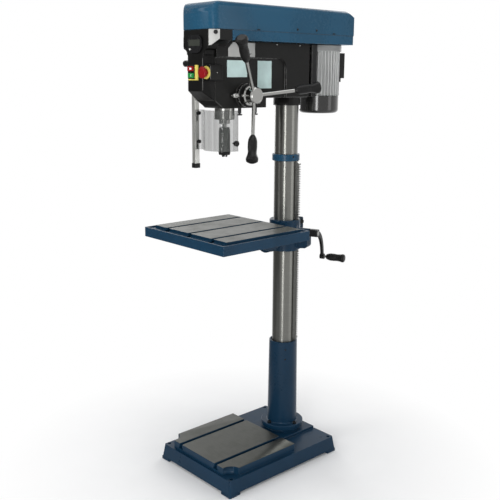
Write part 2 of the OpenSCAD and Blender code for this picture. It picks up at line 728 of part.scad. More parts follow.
module front_panel() {
    color(plastic_black) difference() {
        union() {
            difference() {
                moulding(0);
                intersection() {
                    moulding(4);
                    translate([0, 0, head_top_z - 304]) cube([400, 900, 600], center = true);
                }
                translate([0, 0, head_top_z]) linear_extrude(60) case_plan(4, case_front, tray_front + 5);
                translate([-head_top_w / 2, head_front, deck_z - 60])
                    cube([head_top_w, 200, head_top_z - deck_z + 60]);
            }
            translate([button_x, 0, (stop_z + start_z) / 2])
                front_extrude(face_low_y - 4, face_low_y + 10)
                round_rect(37, 44, 3);
            difference() {
                translate([(36 + 80) / 2, 0, estop_z]) front_extrude(estop_face, estop_face + 56)
                    round_rect(44, 55, 3);
                translate([0, head_front, estop_z - 50]) cube([head_w / 2, 100, 100]);
            }
        }
        translate([0, 0, readout_z]) front_extrude(face_low_y - 2, readout_back) readout_outline(-0.1);
        difference() {
            translate([switch_x, 0, switch_z]) front_extrude(face_low_y - 9, switch_back)
                square([54.2, 52.2], center = true);
            translate([button_x, 0, (stop_z + start_z) / 2])
                front_extrude(face_low_y - 20, face_low_y + 20)
                round_rect(37, 44, 3);
        }
        for (z = [stop_z, start_z]) translate([button_x, 0, z])
            front_extrude(face_low_y - 10, face_low_y + 8)
            square([button_w + 2 * gap, button_h + 2 * gap], center = true);
        translate([estop_x, estop_face - 1, estop_z]) rotate([-90, 0, 0])
            cylinder(h = 16, r = 12.5 + gap);
        translate([estop_x, estop_face, estop_z]) rotate([90, 0, 0]) cylinder(h = 20, r = 22 + gap);
        on_corner() translate([0, 0, -10]) cylinder(h = 12, r = 3 + run_c);
    }
}

module readout() {
    color("#2a2b2c") translate([0, 0, readout_z]) difference() {
        front_extrude(readout_back - 7, readout_back) readout_outline(0);
        translate([-2, 0, 4]) front_extrude(readout_back - 8, readout_back - 5) round_rect(66, 24, 2);
        translate([-23, readout_back - 8, -17]) rotate([-90, 0, 0]) cylinder(h = 9, r = 3.5 + gap);
    }
}

module readout_button() {
    color("#d8d8d4") translate([-23, readout_back - 8.5, readout_z - 17]) rotate([-90, 0, 0])
        cylinder(h = 7, r = 3.5);
}

module switch_plate() {
    color("#cdb95e") difference() {
        translate([switch_x, 0, switch_z]) front_extrude(switch_back - 4, switch_back)
            round_rect(54, 52, 2);
        translate([button_x, 0, (stop_z + start_z) / 2]) front_extrude(face_low_y - 20, face_low_y + 20)
            square([39.2, 48.2], center = true);
    }
}

// Push button with a dished face, centred on [button_x, z], standing out by the given amount
module push_button(z, out) {
    translate([button_x, 0, z]) difference() {
        front_extrude(face_low_y - 4 - out, face_low_y + 4) round_rect(button_w, button_h, 2);
        translate([0, face_low_y - 4 - out - 58.8, 0]) cylinder(h = 30, r = 60, center = true);
    }
}
module start_button() {
    color("#1d7a35") push_button(start_z, 1);
}
module stop_button() {
    color("#a91620") push_button(stop_z, 3);
}

module estop_ring() {
    color("#d9c13f") translate([estop_x, estop_face, estop_z]) rotate([90, 0, 0])
        turned([[12.5 + gap, 0], [22, 0], [22, 2], [21, 3], [12.5 + gap, 3]]);
}

module estop_button() {
    color("#8f1218") translate([estop_x, estop_face, estop_z]) rotate([90, 0, 0])
        turned([[0, -8], [12.5, -8], [12.5, 10], [14, 13], [19, 14], [20, 16], [20, 20],
            each arc([14, 18], 6, 20, 80, 4), [0, 25]]);
}

// Chuck guard: the post swings forwards and up about a stud on the head's left side
module guard_post() {
    stud = 2 * post_w / 2 - post_x - head_w / 2 - 2;
    color("#a9abaa") translate([post_x, guard_y, 0]) difference() {
        union() {
            translate([0, 0, post_low]) linear_extrude(guard_z + 15 - post_low)
                round_rect(post_w, post_w, 2);
            translate([-post_w / 2, 0, guard_z]) rotate([0, 90, 0]) cylinder(h = stud, r = guard_stud_r);
        }
        translate([0, 0, post_low - 1]) linear_extrude(guard_z - 20 - post_low)
            square(post_w - 4, center = true);
        for (z = knob_z) translate([post_w / 2 - 1, 0, z - shield_slide / 2])
            cube([8, 7, shield_slide + 7], center = true);
    }
}

module guard_cap() {
    color(plastic_black) translate([post_x, guard_y, 0]) {
        difference() {
            translate([0, 0, post_low - 5]) linear_extrude(17) round_rect(post_w + 5, post_w + 5, 5);
            translate([0, 0, post_low]) linear_extrude(40) square(post_w + 0.1, center = true);
        }
        translate([-post_w / 2, 0, guard_z]) rotate([0, -90, 0])
            turned([[0, 0], [8, 0], [8, 8], [12, 10], [12, 47], [10, 50], [0, 50]], 32);
    }
}

module guard_shield() {
    mid = shield_r - shield_t / 2;
    at_y = guard_y - spin_y;
    color([0.82, 0.86, 0.86, 0.4]) translate([0, spin_y, shield_low]) difference() {
        linear_extrude(shield_top - shield_low) {
            polygon(concat(arc([0, 0], shield_r, shield_start, 360, 36),
                arc([0, 0], shield_r - shield_t, 360, shield_start, 36)));
            polygon([[post_face + gap, at_y - 11], [post_face + shield_t, at_y - 11],
                [post_face + shield_t, at_y + 9], polar(mid - 0.5, shield_start + 3.5),
                polar(mid - 0.9, shield_start + 0.2), [post_face + gap, at_y + 13]]);
        }
        for (z = knob_z) translate([post_face - 1, at_y, z - shield_low]) rotate([0, 90, 0])
            cylinder(h = 6, r = 3);
        translate([shield_r - 8, -18, knob_z[1] - shield_low]) rotate([0, 90, 0]) cylinder(h = 12, r = 3);
    }
}

module guard_knobs() {
    color(plastic_black) {
        for (z = knob_z) translate([post_face + shield_t, guard_y, z]) rotate([0, 90, 0]) {
            turned([[0, 0], [5, 0], [6.5, 1.5], [6.5, 11], [5.5, 12], [0, 12]], 32);
            translate([0, 0, -shield_t - 8]) cylinder(h = shield_t + 9, r = 3);
        }
        translate([shield_r, spin_y - 18, knob_z[1]]) rotate([0, 90, 0]) {
            turned([[0, 0], [5, 0], [5, 3], [9, 5], [10, 7], [10, 15], [8, 17], [0, 17]], 32);
            translate([0, 0, -8]) cylinder(h = 9, r = 3);
        }
    }
}

// Belt case
module belt_tray() {
    len = case_end - tray_front;
    color(cover_blue) difference() {
        translate([0, tray_front + len / 2, head_top_z]) linear_extrude(seam_z - head_top_z)
            round_rect(case_w, len, 6);
        translate([0, tray_front + len / 2 - 10, head_top_z + sheet_t]) linear_extrude(60)
            round_rect(case_w - 2 * sheet_t, len + 20 - 2 * sheet_t, 4);
        translate([0, spin_y, head_top_z - 1]) cylinder(h = 10, r = 34);
        translate([0, idler_y, head_top_z - 1]) cylinder(h = 10, r = 22.05);
        translate([0, motor_y - motor_slide / 2, head_top_z - 1]) linear_extrude(10)
            round_rect(40, 40 + motor_slide, 19);
    }
}

crown_r = 20;
module cover_side(t) {
    side_extrude(case_w) polygon([[case_front + t, seam_z - 3], [case_front + t, cover_top_z - 40],
        each arc([case_front + 40, cover_top_z - 40], 40 - t, 180, 90, 8),
            [case_end - 40, cover_top_z - t],
        [case_end - t, cover_top_z - 23], [case_end - t, seam_z - 3]]);
}
module cover_form(t) {
    half = case_w / 2;
    intersection() {
        translate([0, 0, seam_z - 2]) linear_extrude(120) case_plan(t, case_front, case_end);
        cover_side(t);
        front_extrude(case_front - 1, case_end + 1) polygon(concat([[half - t, seam_z - 3]],
            arc([half - crown_r, cover_top_z - crown_r], crown_r - t, 0, 90, 6),
                arc([crown_r - half, cover_top_z - crown_r], crown_r - t, 90, 180, 6),
            [[t - half, seam_z - 3]]));
    }
}
module belt_cover() {
    color(cover_blue) difference() {
        union() {
            difference() {
                cover_form(0);
                cover_form(sheet_t);
                translate([-case_w, case_front - 5, seam_z - 50])
                    cube([2 * case_w, case_end - case_front + 10, 50 + gap]);
            }
            for (y = hinge_y, k = [0, 2]) translate([hinge_x, y + knuckle_l * k + gap, seam_z]) {
                rotate([-90, 0, 0]) cylinder(h = knuckle_l - 2 * gap, r = 4);
                translate([0, 0, 2]) cube([5.5, knuckle_l - 2 * gap, 14]);
            }
        }
        for (y = hinge_y) translate([hinge_x, y - 1, seam_z]) rotate([-90, 0, 0])
            cylinder(h = 60, r = 2 + run_c);
        for (y = [idler_y + 21, idler_y + 122]) translate([case_w / 2 - 5, y, seam_z + 13])
            rotate([0, 90, 0])
            cylinder(h = 10, r = 3);
    }
}
module cover_hinge() {
    color(steel) for (y = hinge_y) translate([hinge_x, y, seam_z]) {
        rotate([-90, 0, 0]) cylinder(h = 3 * knuckle_l, r = 2);
        translate([0, knuckle_l, 0]) rotate([-90, 0, 0]) cylinder(h = knuckle_l, r = 4);
        translate([0, knuckle_l, -18]) cube([-case_w / 2 - hinge_x, knuckle_l, 16]);
    }
}

// Turns its child so that +Z leaves the moulding's corner face at right angles
module on_corner() {
    translate([panel_wide + 0.62 * (case_w / 2 - panel_wide), case_front + 0.62 * 30, seam_z - 10])
        rotate([90, 0, atan2(30, case_w / 2 - panel_wide)]) children();
}
module cover_lock_knob() {
    color(plastic_black) on_corner() {
        turned([[0, gap], [6, gap], [7, 2], [7, 9], [5.5, 11], [0, 11]], 32);
        translate([0, 0, -8]) cylinder(h = 9, r = 3);
    }
}

// Stepped pulleys: a row of V grooves, their radii listed from the bottom
function groove(r, z) = [[r, z + 2], [r - 6, z + 4.6], [r - 6, z + step_h - 4.6], [r, z + step_h - 2]];
module stepped_pulley(radii, bore) {
    n = len(radii);
    translate([0, 0, pulley_z]) turned([[bore, 0], [radii[0], 0],
        each [for (i = [0:n - 1]) each groove(radii[i], i * step_h)], [radii[n - 1], n * step_h],
            [bore, n * step_h]]);
}
// Six splines between the spindle and its pulley, with the clearance c
module splines(c) {
    circle(spline_r - 2.5 + c);
    for (a = [0:60:300]) rotate(a) translate([spline_r / 2, 0])
        square([spline_r + 2 * c, 4 + 2 * c], center = true);
}
module spindle_pulley() {
    color("#8d9092") translate([0, spin_y, 0]) difference() {
        union() {
            stepped_pulley(spindle_steps, 4);
            translate([0, 0, sleeve_z]) cylinder(h = pulley_z + 1 - sleeve_z, r = sleeve_r);
        }
        translate([0, 0, sleeve_z - 1]) linear_extrude(cover_top_z - sleeve_z) splines(run_c);
    }
}
module idler_pulley() {
    color("#8d9092") translate([0, idler_y, 0]) stepped_pulley(idler_steps, 9 + run_c);
}
module motor_pulley() {
    color("#8d9092") translate([0, motor_y, 0]) stepped_pulley(motor_steps, 12);
}
module idler_post() {
    color(steel) translate([0, idler_y, head_top_z]) {
        cylinder(h = 12, r = 22);
        cylinder(h = pulley_z - head_top_z + 4 * step_h + 4, r = 9);
    }
}
// Outline round two circles of radii a and b, the second at the distance d along +Y
module loop(a, b, d) {
    lean = asin((a - b) / d);
    polygon(concat(arc([0, 0], a, 180 - lean, 360 + lean, 24), arc([0, d], b, lean, 180 - lean, 24)));
}
module belt(y, a, b, d, level) {
    translate([0, y, pulley_z + level * step_h + (step_h - 8) / 2]) linear_extrude(8) difference() {
        loop(a + 0.4, b + 0.4, d);
        loop(a - 5.6, b - 5.6, d);
    }
}
module drive_belts() {
    i = belt_levels[0];
    j = belt_levels[1];
    color("#15181a") {
        belt(spin_y, spindle_steps[i], idler_steps[i], idler_y - spin_y, i);
        belt(idler_y, idler_steps[j], motor_steps[j], motor_y - idler_y, j);
    }
}
module sleeve_bearings() {
    bearing_h = sleeve_seat + 1;
    color(steel) translate([0, spin_y, head_top_z - bearing_h]) difference() {
        cylinder(h = bearing_h, r = 31);
        translate([0, 0, -1]) cylinder(h = bearing_h + 2, r = sleeve_r + run_c);
    }
}

// Return spring at the left end of the feed shaft
module spring_housing() {
    color(casting_black) translate([-head_w / 2, feed_y, hub_z]) rotate([0, -90, 0]) difference() {
        turned([[feed_shaft_r + 1, 0], [44, 0], [44, 26], [40, 30], [0, 30], [0, 27], [37, 27], [37, 4],
            [feed_shaft_r + 1, 4]]);
        for (a = [45:90:315]) rotate([0, 0, a]) translate([40.5, 0, 26]) cylinder(h = 6, r = 1.6);
    }
}
function spiral(r0, turns) = [for (a = [0:15:360 * turns]) polar(r0 + 4 * a / 360, a)];
module return_spring() {
    inner = spiral(feed_shaft_r + 0.4, 5);
    outer = spiral(feed_shaft_r + 1.6, 5);
    color("#3c4248") translate([-head_w / 2 - 6, feed_y, hub_z]) rotate([0, -90, 0]) linear_extrude(18)
        polygon(concat(outer, [for (i = [len(inner) - 1:-1:0]) inner[i]]));
}

// Quill, spindle and chuck
chuck_top = quill_low_z - 28;
chuck_low = chuck_top - 98;
sleeve_top = 1257;
jaw_tip_z = 1234;
jaw_l = 50;
jaw_r = 3.5;
jaw_lean = 10;
nose_r = 16.5;
arbor_r = 8;
module on_spindle(z) {
    translate([0, spin_y, z]) children();
}
module quill() {
    rack_low = quill_low_z + 58;
    color(steel) difference() {
        on_spindle(quill_low_z) turned([[22, 0], [quill_r - 2, 0], [quill_r, 2], [quill_r, quill_l - 1],
            [quill_r - 1, quill_l], [22, quill_l]]);
        translate([-11, spin_y + feed_pitch_y + 2.2, rack_low]) cube([22, 10, quill_l]);
        translate([0, spin_y + feed_pitch_y, 0]) side_extrude(22) mirror([1, 0])
            rack_gaps(feed_module, rack_low + 4, quill_low_z + quill_l - 3, hub_z, 2.2, 3.1);
    }
}

module quill_bearings() {
    color("#8b8e90") for (z = [quill_low_z + 1, quill_low_z + quill_l - 21]) on_spindle(z) difference() {
        cylinder(h = 20, r = 22);
        translate([0, 0, -1]) cylinder(h = 22, r = 11 + run_c);
    }
}

module spindle() {
    shoulder = quill_low_z - gap;
    top = quill_low_z + quill_l + 4;
    color(steel) {
        on_spindle(0) turned([[0, chuck_top - 24], [arbor_r, chuck_top - 24], [arbor_r, shoulder - 15],
            [19, shoulder - 15], [20, shoulder - 14], [20, shoulder], [11, shoulder], [11, top],
                [0, top]]);
        on_spindle(top - 1) linear_extrude(sleeve_z + quill_stroke + spline_hold - top) splines(0);
    }
}

// Axis of a jaw, leaning outwards as it rises from the tip
module along_jaw(k) {
    on_spindle(jaw_tip_z) rotate([0, 0, 30 + 120 * k]) translate([grip_d / 2 + 2, 0, 0])
        rotate([0, jaw_lean, 0]) children();
}
module chuck_body() {
    color(steel) difference() {
        on_spindle(0) turned([[0, chuck_low], [nose_r - 2, chuck_low], [nose_r, chuck_low + 2],
            [nose_r, sleeve_top + gap],
            [20, sleeve_top + gap], [21, sleeve_top + 2], [21, chuck_top - 7], [19, chuck_top - 4],
                [19, chuck_top],
            [0, chuck_top]]);
        on_spindle(chuck_top - 24) cylinder(h = 30, r = arbor_r);
        on_spindle(chuck_low - 1) cylinder(h = 48, r = grip_d / 2 + 1);
        for (k = [0:2]) along_jaw(k) translate([0, 0, 4]) cylinder(h = jaw_l + 4, r = jaw_r + 0.05);
    }
}

module chuck_sleeve() {
    color(plastic_black) on_spindle(0) difference() {
        turned([[nose_r + run_c, chuck_low - 2], [20, chuck_low - 2], [22, sleeve_top - 4],
            [22, sleeve_top],
            [nose_r + run_c, sleeve_top]]);
        for (a = [0:20:340]) rotate([0, 0, a]) translate([23, 0, chuck_low])
            cylinder(h = 30, r = 1.6, $fn = 16);
    }
}

module chuck_jaw(k) {
    color("#8b8e90") difference() {
        along_jaw(k) cylinder(h = jaw_l, r = jaw_r);
        on_spindle(jaw_tip_z - 5) cylinder(h = 14, r = grip_d / 2);
        on_spindle(jaw_tip_z - 5) cylinder(h = 5.5, r = 40);
    }
}
module chuck_jaw_1() {
    chuck_jaw(0);
}
module chuck_jaw_2() {
    chuck_jaw(1);
}
module chuck_jaw_3() {
    chuck_jaw(2);
}

module quill_lock_screws() {
    color(steel) for (y = lock_screw_y) translate([45, y, head_low_z]) {
        translate([0, 0, -18]) cylinder(h = 18, r = 6.3);
        translate([0, 0, -26]) turned([[0, 0], [8.7, 0], [9.5, 0.8], [9.5, 4.2], [8.7, 5], [4, 5], [4, 9],
            [0, 9]], 48);
        translate([0, 0, -1]) cylinder(h = 16, r = 4);
    }
}

// Feed pinion, hub and arms: local X runs along the shaft
module on_feed() {
    translate([0, feed_y, hub_z]) rotate([0, 90, 0]) children();
}
hub_x = 70.3;
hub_end = 120;
module feed_shaft() {
    color(steel) on_feed() {
        translate([0, 0, -head_w / 2 - 26]) cylinder(h = head_w / 2 + 26 + hub_end - 5, r = feed_shaft_r);
        rotate([0, 0, -90]) pinion(feed_module, feed_teeth, feed_module, 2.8, 20);
        translate([0, 0, 38.5]) cylinder(h = 16.5, r = journal_big_r);
    }
}

dial_r = 41;
dial_mid_x = 62.5;
module depth_dial() {
    color(casting_black) on_feed() difference() {
        translate([0, 0, 55 + gap]) turned([[feed_shaft_r + run_c, 0], [dial_r - 1, 0], [dial_r, 1],
            [dial_r, 13.4], [dial_r - 1, 14.4], [feed_shaft_r + run_c, 14.4]]);
        translate([0, 0, dial_mid_x]) rotate([90, 0, 0]) cylinder(h = 50, r = 3);
    }
}

module dial_lock_screw() {
    color(steel) on_feed() translate([0, 0, dial_mid_x]) rotate([90, 0, 0]) {
        translate([0, 0, feed_shaft_r + 1]) cylinder(h = dial_r - feed_shaft_r, r = 3 - run_c);
        translate([0, 0, dial_r + 0.8]) turned([[0, 0], [5, 0], [6.8, 3], [6.8, 22], [5.8, 24], [0, 24]],
            48);
    }
}

// Local Z runs along feed arm k, from the hub's axis outwards
arm_x = 102;
grip_l = 102;
module along_arm(k) {
    translate([arm_x, feed_y, hub_z]) rotate([arm_phase - 120 * k, 0, 0]) rotate([0, 0, -arm_cone])
        rotate([-90, 0, 0]) children();
}
module feed_hub() {
    color("#c6c8c8") difference() {
        on_feed() turned([[feed_shaft_r, hub_x], [34, hub_x], [35, hub_x + 1], [35, hub_x + 16],
            [30, hub_x + 19],
            [30, hub_end - 4], [27, hub_end], [0, hub_end], [0, hub_end - 5],
                [feed_shaft_r, hub_end - 5]]);
        for (k = [0:2]) along_arm(k) translate([0, 0, 22]) cylinder(h = 30, r = 6.5);
    }
}

module feed_arms() {
    color("#c6c8c8") for (k = [0:2]) along_arm(k) translate([0, 0, 22])
        cylinder(h = arm_reach - 26, r = 6.5);
}

module feed_grips() {
    color(plastic_black) for (k = [0:2]) along_arm(k) translate([0, 0, arm_reach - grip_l])
        turned([[6.5, 0], [8, 0],
        [12.5, 8], [15.2, 16], [16.5, 25], [16.8, 45], [15.5, 62], [16, 70], [19, 80], [21.5, 87],
            [22, 92],
        [20.5, grip_l - 4], [14, grip_l], [0, grip_l], [0, grip_l - 4], [6.5, grip_l - 4]], 48);
}

// Motor on its sliding plate
plate_rear = motor_y - motor_d / 2 - 1;
plate_front = head_rear + motor_slide + 1;
motor_r = motor_d / 2;
rod_z = [head_rear_z + 35, head_top_z - 30];
module motor_plate() {
    low = head_rear_z + 2;
    color("#3a3d3f") difference() {
        union() {
            difference() {
                side_extrude(124) polygon([[plate_front, low],
                    each arc([plate_rear - 16, low + 16], 16, 270, 360, 6),
                    [plate_rear, head_top_z - 2], [plate_front, head_top_z - 2]]);
                translate([-54, plate_front - 1, low + 8])
                    cube([108, plate_rear - plate_front - 9, head_top_z - low - 18]);
            }
            for (x = [-40, 40], z = rod_z) translate([x, plate_rear - 1, z]) rotate([90, 0, 0])
                cylinder(h = plate_rear - 1 - head_rear + 25, r = 9);
        }
        translate([0, motor_y, ring_z - gap]) cylinder(h = 100, r = motor_r + 6 + gap);
    }
}

module motor_body() {
    color("#b4b7b9") translate([0, motor_y, 0]) difference() {
        union() {
            translate([0, 0, motor_split_z]) linear_extrude(ring_z - motor_split_z + 1) {
                circle(motor_r - 7);
                for (a = [0:10:350]) rotate(a) translate([motor_r - 5, 0])
                    square([10, 2.6], center = true);
            }
            translate([0, 0, ring_z]) turned([[0, 0], [motor_r + 5, 0], [motor_r + 6, 1],
                [motor_r + 6, 21],
                [motor_r + 3.5, 23.5], [0, 23.5]]);
            for (x = [-44, 30]) translate([x, plate_rear - motor_y, motor_split_z + 14])
                cube([14, 22, ring_z - motor_split_z - 28]);
        }
        translate([0, 0, motor_split_z + 10]) cylinder(h = ring_z - motor_split_z - 14, r = motor_r - 16);
        translate([0, 0, motor_split_z - 1]) cylinder(h = 300, r = 12 + run_c);
    }
}

module fan_cowl() {
    color("#2b2d2e") translate([0, motor_y, 0]) difference() {
        turned([[0, motor_low_z], [motor_r - 16, motor_low_z],
            each arc([motor_r - 16, motor_low_z + 15], 15, 280, 360, 6),
            [motor_r - 1, motor_split_z], [motor_r - 3, motor_split_z], [motor_r - 3, motor_low_z + 16],
            each arc([motor_r - 16, motor_low_z + 15], 12.5, 350, 280, 4), [0, motor_low_z + 2.5]]);
        for (a = [0:22.5:337.5]) rotate([0, 0, a]) translate([39, 0, motor_low_z])
            cube([34, 5, 8], center = true);
    }
}

module terminal_box() {
    color("#b4b7b9") difference() {
        union() {
            translate([0, motor_y + motor_r + 6, ring_z - 103]) linear_extrude(98) round_rect(84, 40, 5);
            translate([24, motor_y + motor_r + 12, ring_z - 118]) cylinder(h = 16, r = 8, $fn = 6);
        }
        translate([0, motor_y, 0]) cylinder(h = 2000, r = motor_r);
        translate([24, motor_y + motor_r + 12, ring_z - 119]) cylinder(h = 12, r = 4.5);
    }
}

module motor_rotor() {
    fan_z = motor_low_z + 18;
    color(steel) translate([0, motor_y, 0]) {
        translate([0, 0, fan_z - 4]) cylinder(h = pulley_z + 4 * step_h + 5 - fan_z + 4, r = 12);
        translate([0, 0, motor_split_z + 24]) cylinder(h = ring_z - motor_split_z - 42, r = motor_r - 24);
        translate([0, 0, fan_z]) cylinder(h = 34, r = 20);
        for (a = [0:60:300]) rotate([0, 0, a]) translate([16, -1.5, fan_z]) cube([50, 3, 30]);
    }
}

base();
column_boot();
column_fasteners();
column();
upper_collar();
head_casting();
front_panel();
readout();
readout_button();
switch_plate();
start_button();
stop_button();
estop_ring();
estop_button();
belt_tray();
sleeve_bearings();
idler_post();
spring_housing();
return_spring();
cover_hinge();
quill_lock_screws();
rack();
table_bracket();
tilt_bolt();
column_lock_lever();
lift_pinion();
crank_shaft();
crank_arm();
crank_grip();
table();
table_arm();
quill();
quill_bearings();
spindle();
chuck_body();
chuck_sleeve();
chuck_jaw_1();
chuck_jaw_2();
chuck_jaw_3();
feed_shaft();
feed_hub();
feed_arms();
feed_grips();
depth_dial();
dial_lock_screw();
guard_post();
guard_cap();
guard_shield();
guard_knobs();
belt_cover();
cover_lock_knob();
motor_plate();
motor_body();
fan_cowl();
terminal_box();
motor_rotor();
motor_pulley();
spindle_pulley();
idler_pulley();
drive_belts();
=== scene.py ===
import json
import math

import bmesh
import bpy
from mathutils import Matrix, Vector


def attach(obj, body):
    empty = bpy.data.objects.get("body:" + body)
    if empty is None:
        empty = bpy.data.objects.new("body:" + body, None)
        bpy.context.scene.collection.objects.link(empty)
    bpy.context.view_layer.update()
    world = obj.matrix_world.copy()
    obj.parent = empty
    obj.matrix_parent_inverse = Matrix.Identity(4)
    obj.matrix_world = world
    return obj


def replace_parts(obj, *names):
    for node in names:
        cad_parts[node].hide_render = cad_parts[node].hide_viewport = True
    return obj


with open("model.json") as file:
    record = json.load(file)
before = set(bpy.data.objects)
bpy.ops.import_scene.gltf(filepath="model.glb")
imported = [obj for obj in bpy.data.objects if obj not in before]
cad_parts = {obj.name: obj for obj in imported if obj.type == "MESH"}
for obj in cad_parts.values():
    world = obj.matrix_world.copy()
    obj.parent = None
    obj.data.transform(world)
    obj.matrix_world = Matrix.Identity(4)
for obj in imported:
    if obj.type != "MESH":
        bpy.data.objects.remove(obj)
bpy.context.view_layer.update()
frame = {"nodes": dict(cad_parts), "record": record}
nodes = frame["nodes"]
body_of = {n: b for b, ns in frame["record"]["behaviour"]["bodies"].items() for n in ns}

# Measures shared with the part's source, in metres
SPIN_Y, MOTOR_Y, FEED_Y, HUB_Z = -0.133, 0.364, -0.081, 1.456
TABLE_TOP, PAD_TOP, SEAM_Z = 0.970, 0.093, 1.679
STOP_X, STOP_Z, STOP_FACE = 0.058, 1.535, -0.262
BUTTON_X, BUTTON_ZS, PANEL_FACE = -0.016, (1.548, 1.525), -0.268
HEAD_SIDE, BAY_SIDE, COVER_SIDE, TERMINAL_FACE = 0.060, 0.052, 0.095, 0.470
FIN_ROOT, MOTOR_RING = 0.073, (1.6202, 1.6212)


# ---------------------------------------------------------------- materials
def srgb(r, g, b):
    return tuple(((c + 0.055) / 1.055) ** 2.4 if c > 0.04045 else c / 12.92 for c in (r, g, b)) + (1.0,)


def shade(c, k):
    return tuple(min(1.0, v * k) for v in c[:3]) + (1.0,)


class Nodes:
    """Short names for building a material's node tree."""

    def __init__(self, name):
        self.mat = bpy.data.materials.new(name)
        self.mat.use_nodes = True
        self.tree = self.mat.node_tree
        self.bsdf = self.tree.nodes["Principled BSDF"]
        self.coord = self.add("ShaderNodeTexCoord").outputs["Object"]

    def add(self, kind, **sockets):
        n = self.tree.nodes.new(kind)
        for k, v in sockets.items():
            self.put(n.inputs[int(k[1:])] if k[0] == "i" and k[1:].isdigit() else n.inputs[k], v)
        return n

    def put(self, socket, value):
        if isinstance(value, bpy.types.NodeSocket):
            self.tree.links.new(value, socket)
        else:
            socket.default_value = value

    def scaled(self, scale):
        return self.add("ShaderNodeMapping", Vector=self.coord, Scale=scale).outputs[0]

    def noise(self, scale, detail=3.0, rough=0.5, stretch=None):
        v = self.scaled(stretch) if stretch else self.coord
        return self.add("ShaderNodeTexNoise", Vector=v, Scale=scale, Detail=detail,
                        Roughness=rough).outputs["Fac"]

    def ramp(self, value, low, high, a=0.0, b=1.0):
        n = self.add("ShaderNodeMapRange", Value=value)
        n.inputs["From Min"].default_value, n.inputs["From Max"].default_value = low, high
        n.inputs["To Min"].default_value, n.inputs["To Max"].default_value = a, b
        return n.outputs[0]

    def mix(self, fac, a, b):
        n = self.tree.nodes.new("ShaderNodeMix")
        n.data_type = "RGBA"
        self.put(n.inputs["Factor"], fac)
        self.put([s for s in n.inputs if s.name == "A" and s.type == "RGBA"][0], a)
        self.put([s for s in n.inputs if s.name == "B" and s.type == "RGBA"][0], b)
        return [s for s in n.outputs if s.type == "RGBA"][0]

    def blend(self, fac, a, b):
        n = self.tree.nodes.new("ShaderNodeMix")
        self.put(n.inputs["Factor"], fac)
        self.put(n.inputs["A"], a)
        self.put(n.inputs["B"], b)
        return n.outputs[0]

    def maths(self, op, a, b=0.0):
        n = self.tree.nodes.new("ShaderNodeMath")
        n.operation = op
        self.put(n.inputs[0], a)
        self.put(n.inputs[1], b)
        return n.outputs[0]

    def axis(self, which):
        return self.add("ShaderNodeSeparateXYZ", Vector=self.coord).outputs[which]

    def edges(self, radius):
        """1 on edges and in corners, 0 on flat or smooth faces."""
        bev = self.add("ShaderNodeBevel", Radius=radius)
        bev.samples = 4
        geo = self.add("ShaderNodeNewGeometry")
        dot = self.tree.nodes.new("ShaderNodeVectorMath")
        dot.operation = "DOT_PRODUCT"
        self.put(dot.inputs[0], bev.outputs[0])
        self.put(dot.inputs[1], geo.outputs["Normal"])
        return self.ramp(dot.outputs["Value"], 0.995, 0.85)

    def bump(self, height, strength, distance, radius=0.0):
        n = self.add("ShaderNodeBump", Height=height, Strength=strength, Distance=distance)
        if radius:
            bev = self.add("ShaderNodeBevel", Radius=radius)
            bev.samples = 4
            self.put(n.inputs["Normal"], bev.outputs[0])
        return n.outputs[0]

    def done(self, color, rough, normal=None, **plain):
        s = self.bsdf.inputs
        self.put(s["Base Color"], color)
        self.put(s["Roughness"], rough)
        if normal is not None:
            self.put(s["Normal"], normal)
        for k, v in plain.items():
            s[k.replace("_", " ")].default_value = v
        return self.mat


def paint(name, color, rough=0.3, grain=320, depth=0.25, wear=0.35, coat=0.05, edge_tone=None, spec=0.16,
          seam=None, fin_shade=None, side=None):
    """Enamel over metal: soft mottling, orange peel, thinner lighter paint on the edges. seam is the height of a dark
    line, fin_shade the motor's centre y and fin root radius: painted shade at the fin roots, and on the top ring
    that the tray shadows; side the lighter colour painted on the side facing +X as painted light."""
    n = Nodes(name)
    edge = 0.0012
    cloud = n.noise(5, 3, 0.5)
    fine = n.noise(110, 3, 0.6)
    c = n.mix(n.ramp(cloud, 0.3, 0.7), shade(color, 0.9), shade(color, 1.1))
    c = n.mix(n.ramp(fine, 0.6, 0.85, 0, 0.12), c, shade(color, 1.2))
    rim = n.maths("MULTIPLY", n.edges(edge), n.ramp(n.noise(140, 3, 0.7), 0.35, 0.65, 0.2, 1))
    c = n.mix(n.maths("MULTIPLY", rim, wear), c, edge_tone or shade(color, 2.4))
    # Painted light: the side facing +X is painted lighter, as if lit.
    if side:
        facing = n.add("ShaderNodeSeparateXYZ", Vector=n.add("ShaderNodeTexCoord").outputs["Normal"]).outputs["X"]
        c = n.mix(n.ramp(facing, 0.3, 0.8), c, side)
    if seam:
        away = n.maths("ABSOLUTE", n.maths("SUBTRACT", n.axis("Z"), seam))
        c = n.mix(n.ramp(away, 0.0022, 0.001, 0, 0.8), c, srgb(0.03, 0.05, 0.06))
    if fin_shade:
        x2 = n.maths("POWER", n.axis("X"), 2.0)
        y2 = n.maths("POWER", n.maths("SUBTRACT", n.axis("Y"), fin_shade[0]), 2.0)
        reach = n.maths("SQRT", n.maths("ADD", x2, y2))
        # Painted shade at the fin roots, in the grooves between them.
        c = n.mix(n.ramp(reach, fin_shade[1] + 0.0002, fin_shade[1] + 0.004, 0.6, 0), c, shade(color, 0.3))
        # Painted shade on the motor's top ring, above MOTOR_RING, where the tray shadows it.
        c = n.mix(n.ramp(n.axis("Z"), *MOTOR_RING), c, shade(color, 0.42))
    fog = n.ramp(cloud, 0.3, 0.7, -0.04, 0.05)
    r = n.maths("ADD", fog, n.ramp(fine, 0.3, 0.8, rough - 0.03, rough + 0.05))
    b = n.bump(n.noise(grain, 2, 0.5), depth, 0.0004, edge)
    return n.done(c, r, b, Coat_Weight=coat, Coat_Roughness=0.12, Specular_IOR_Level=spec)


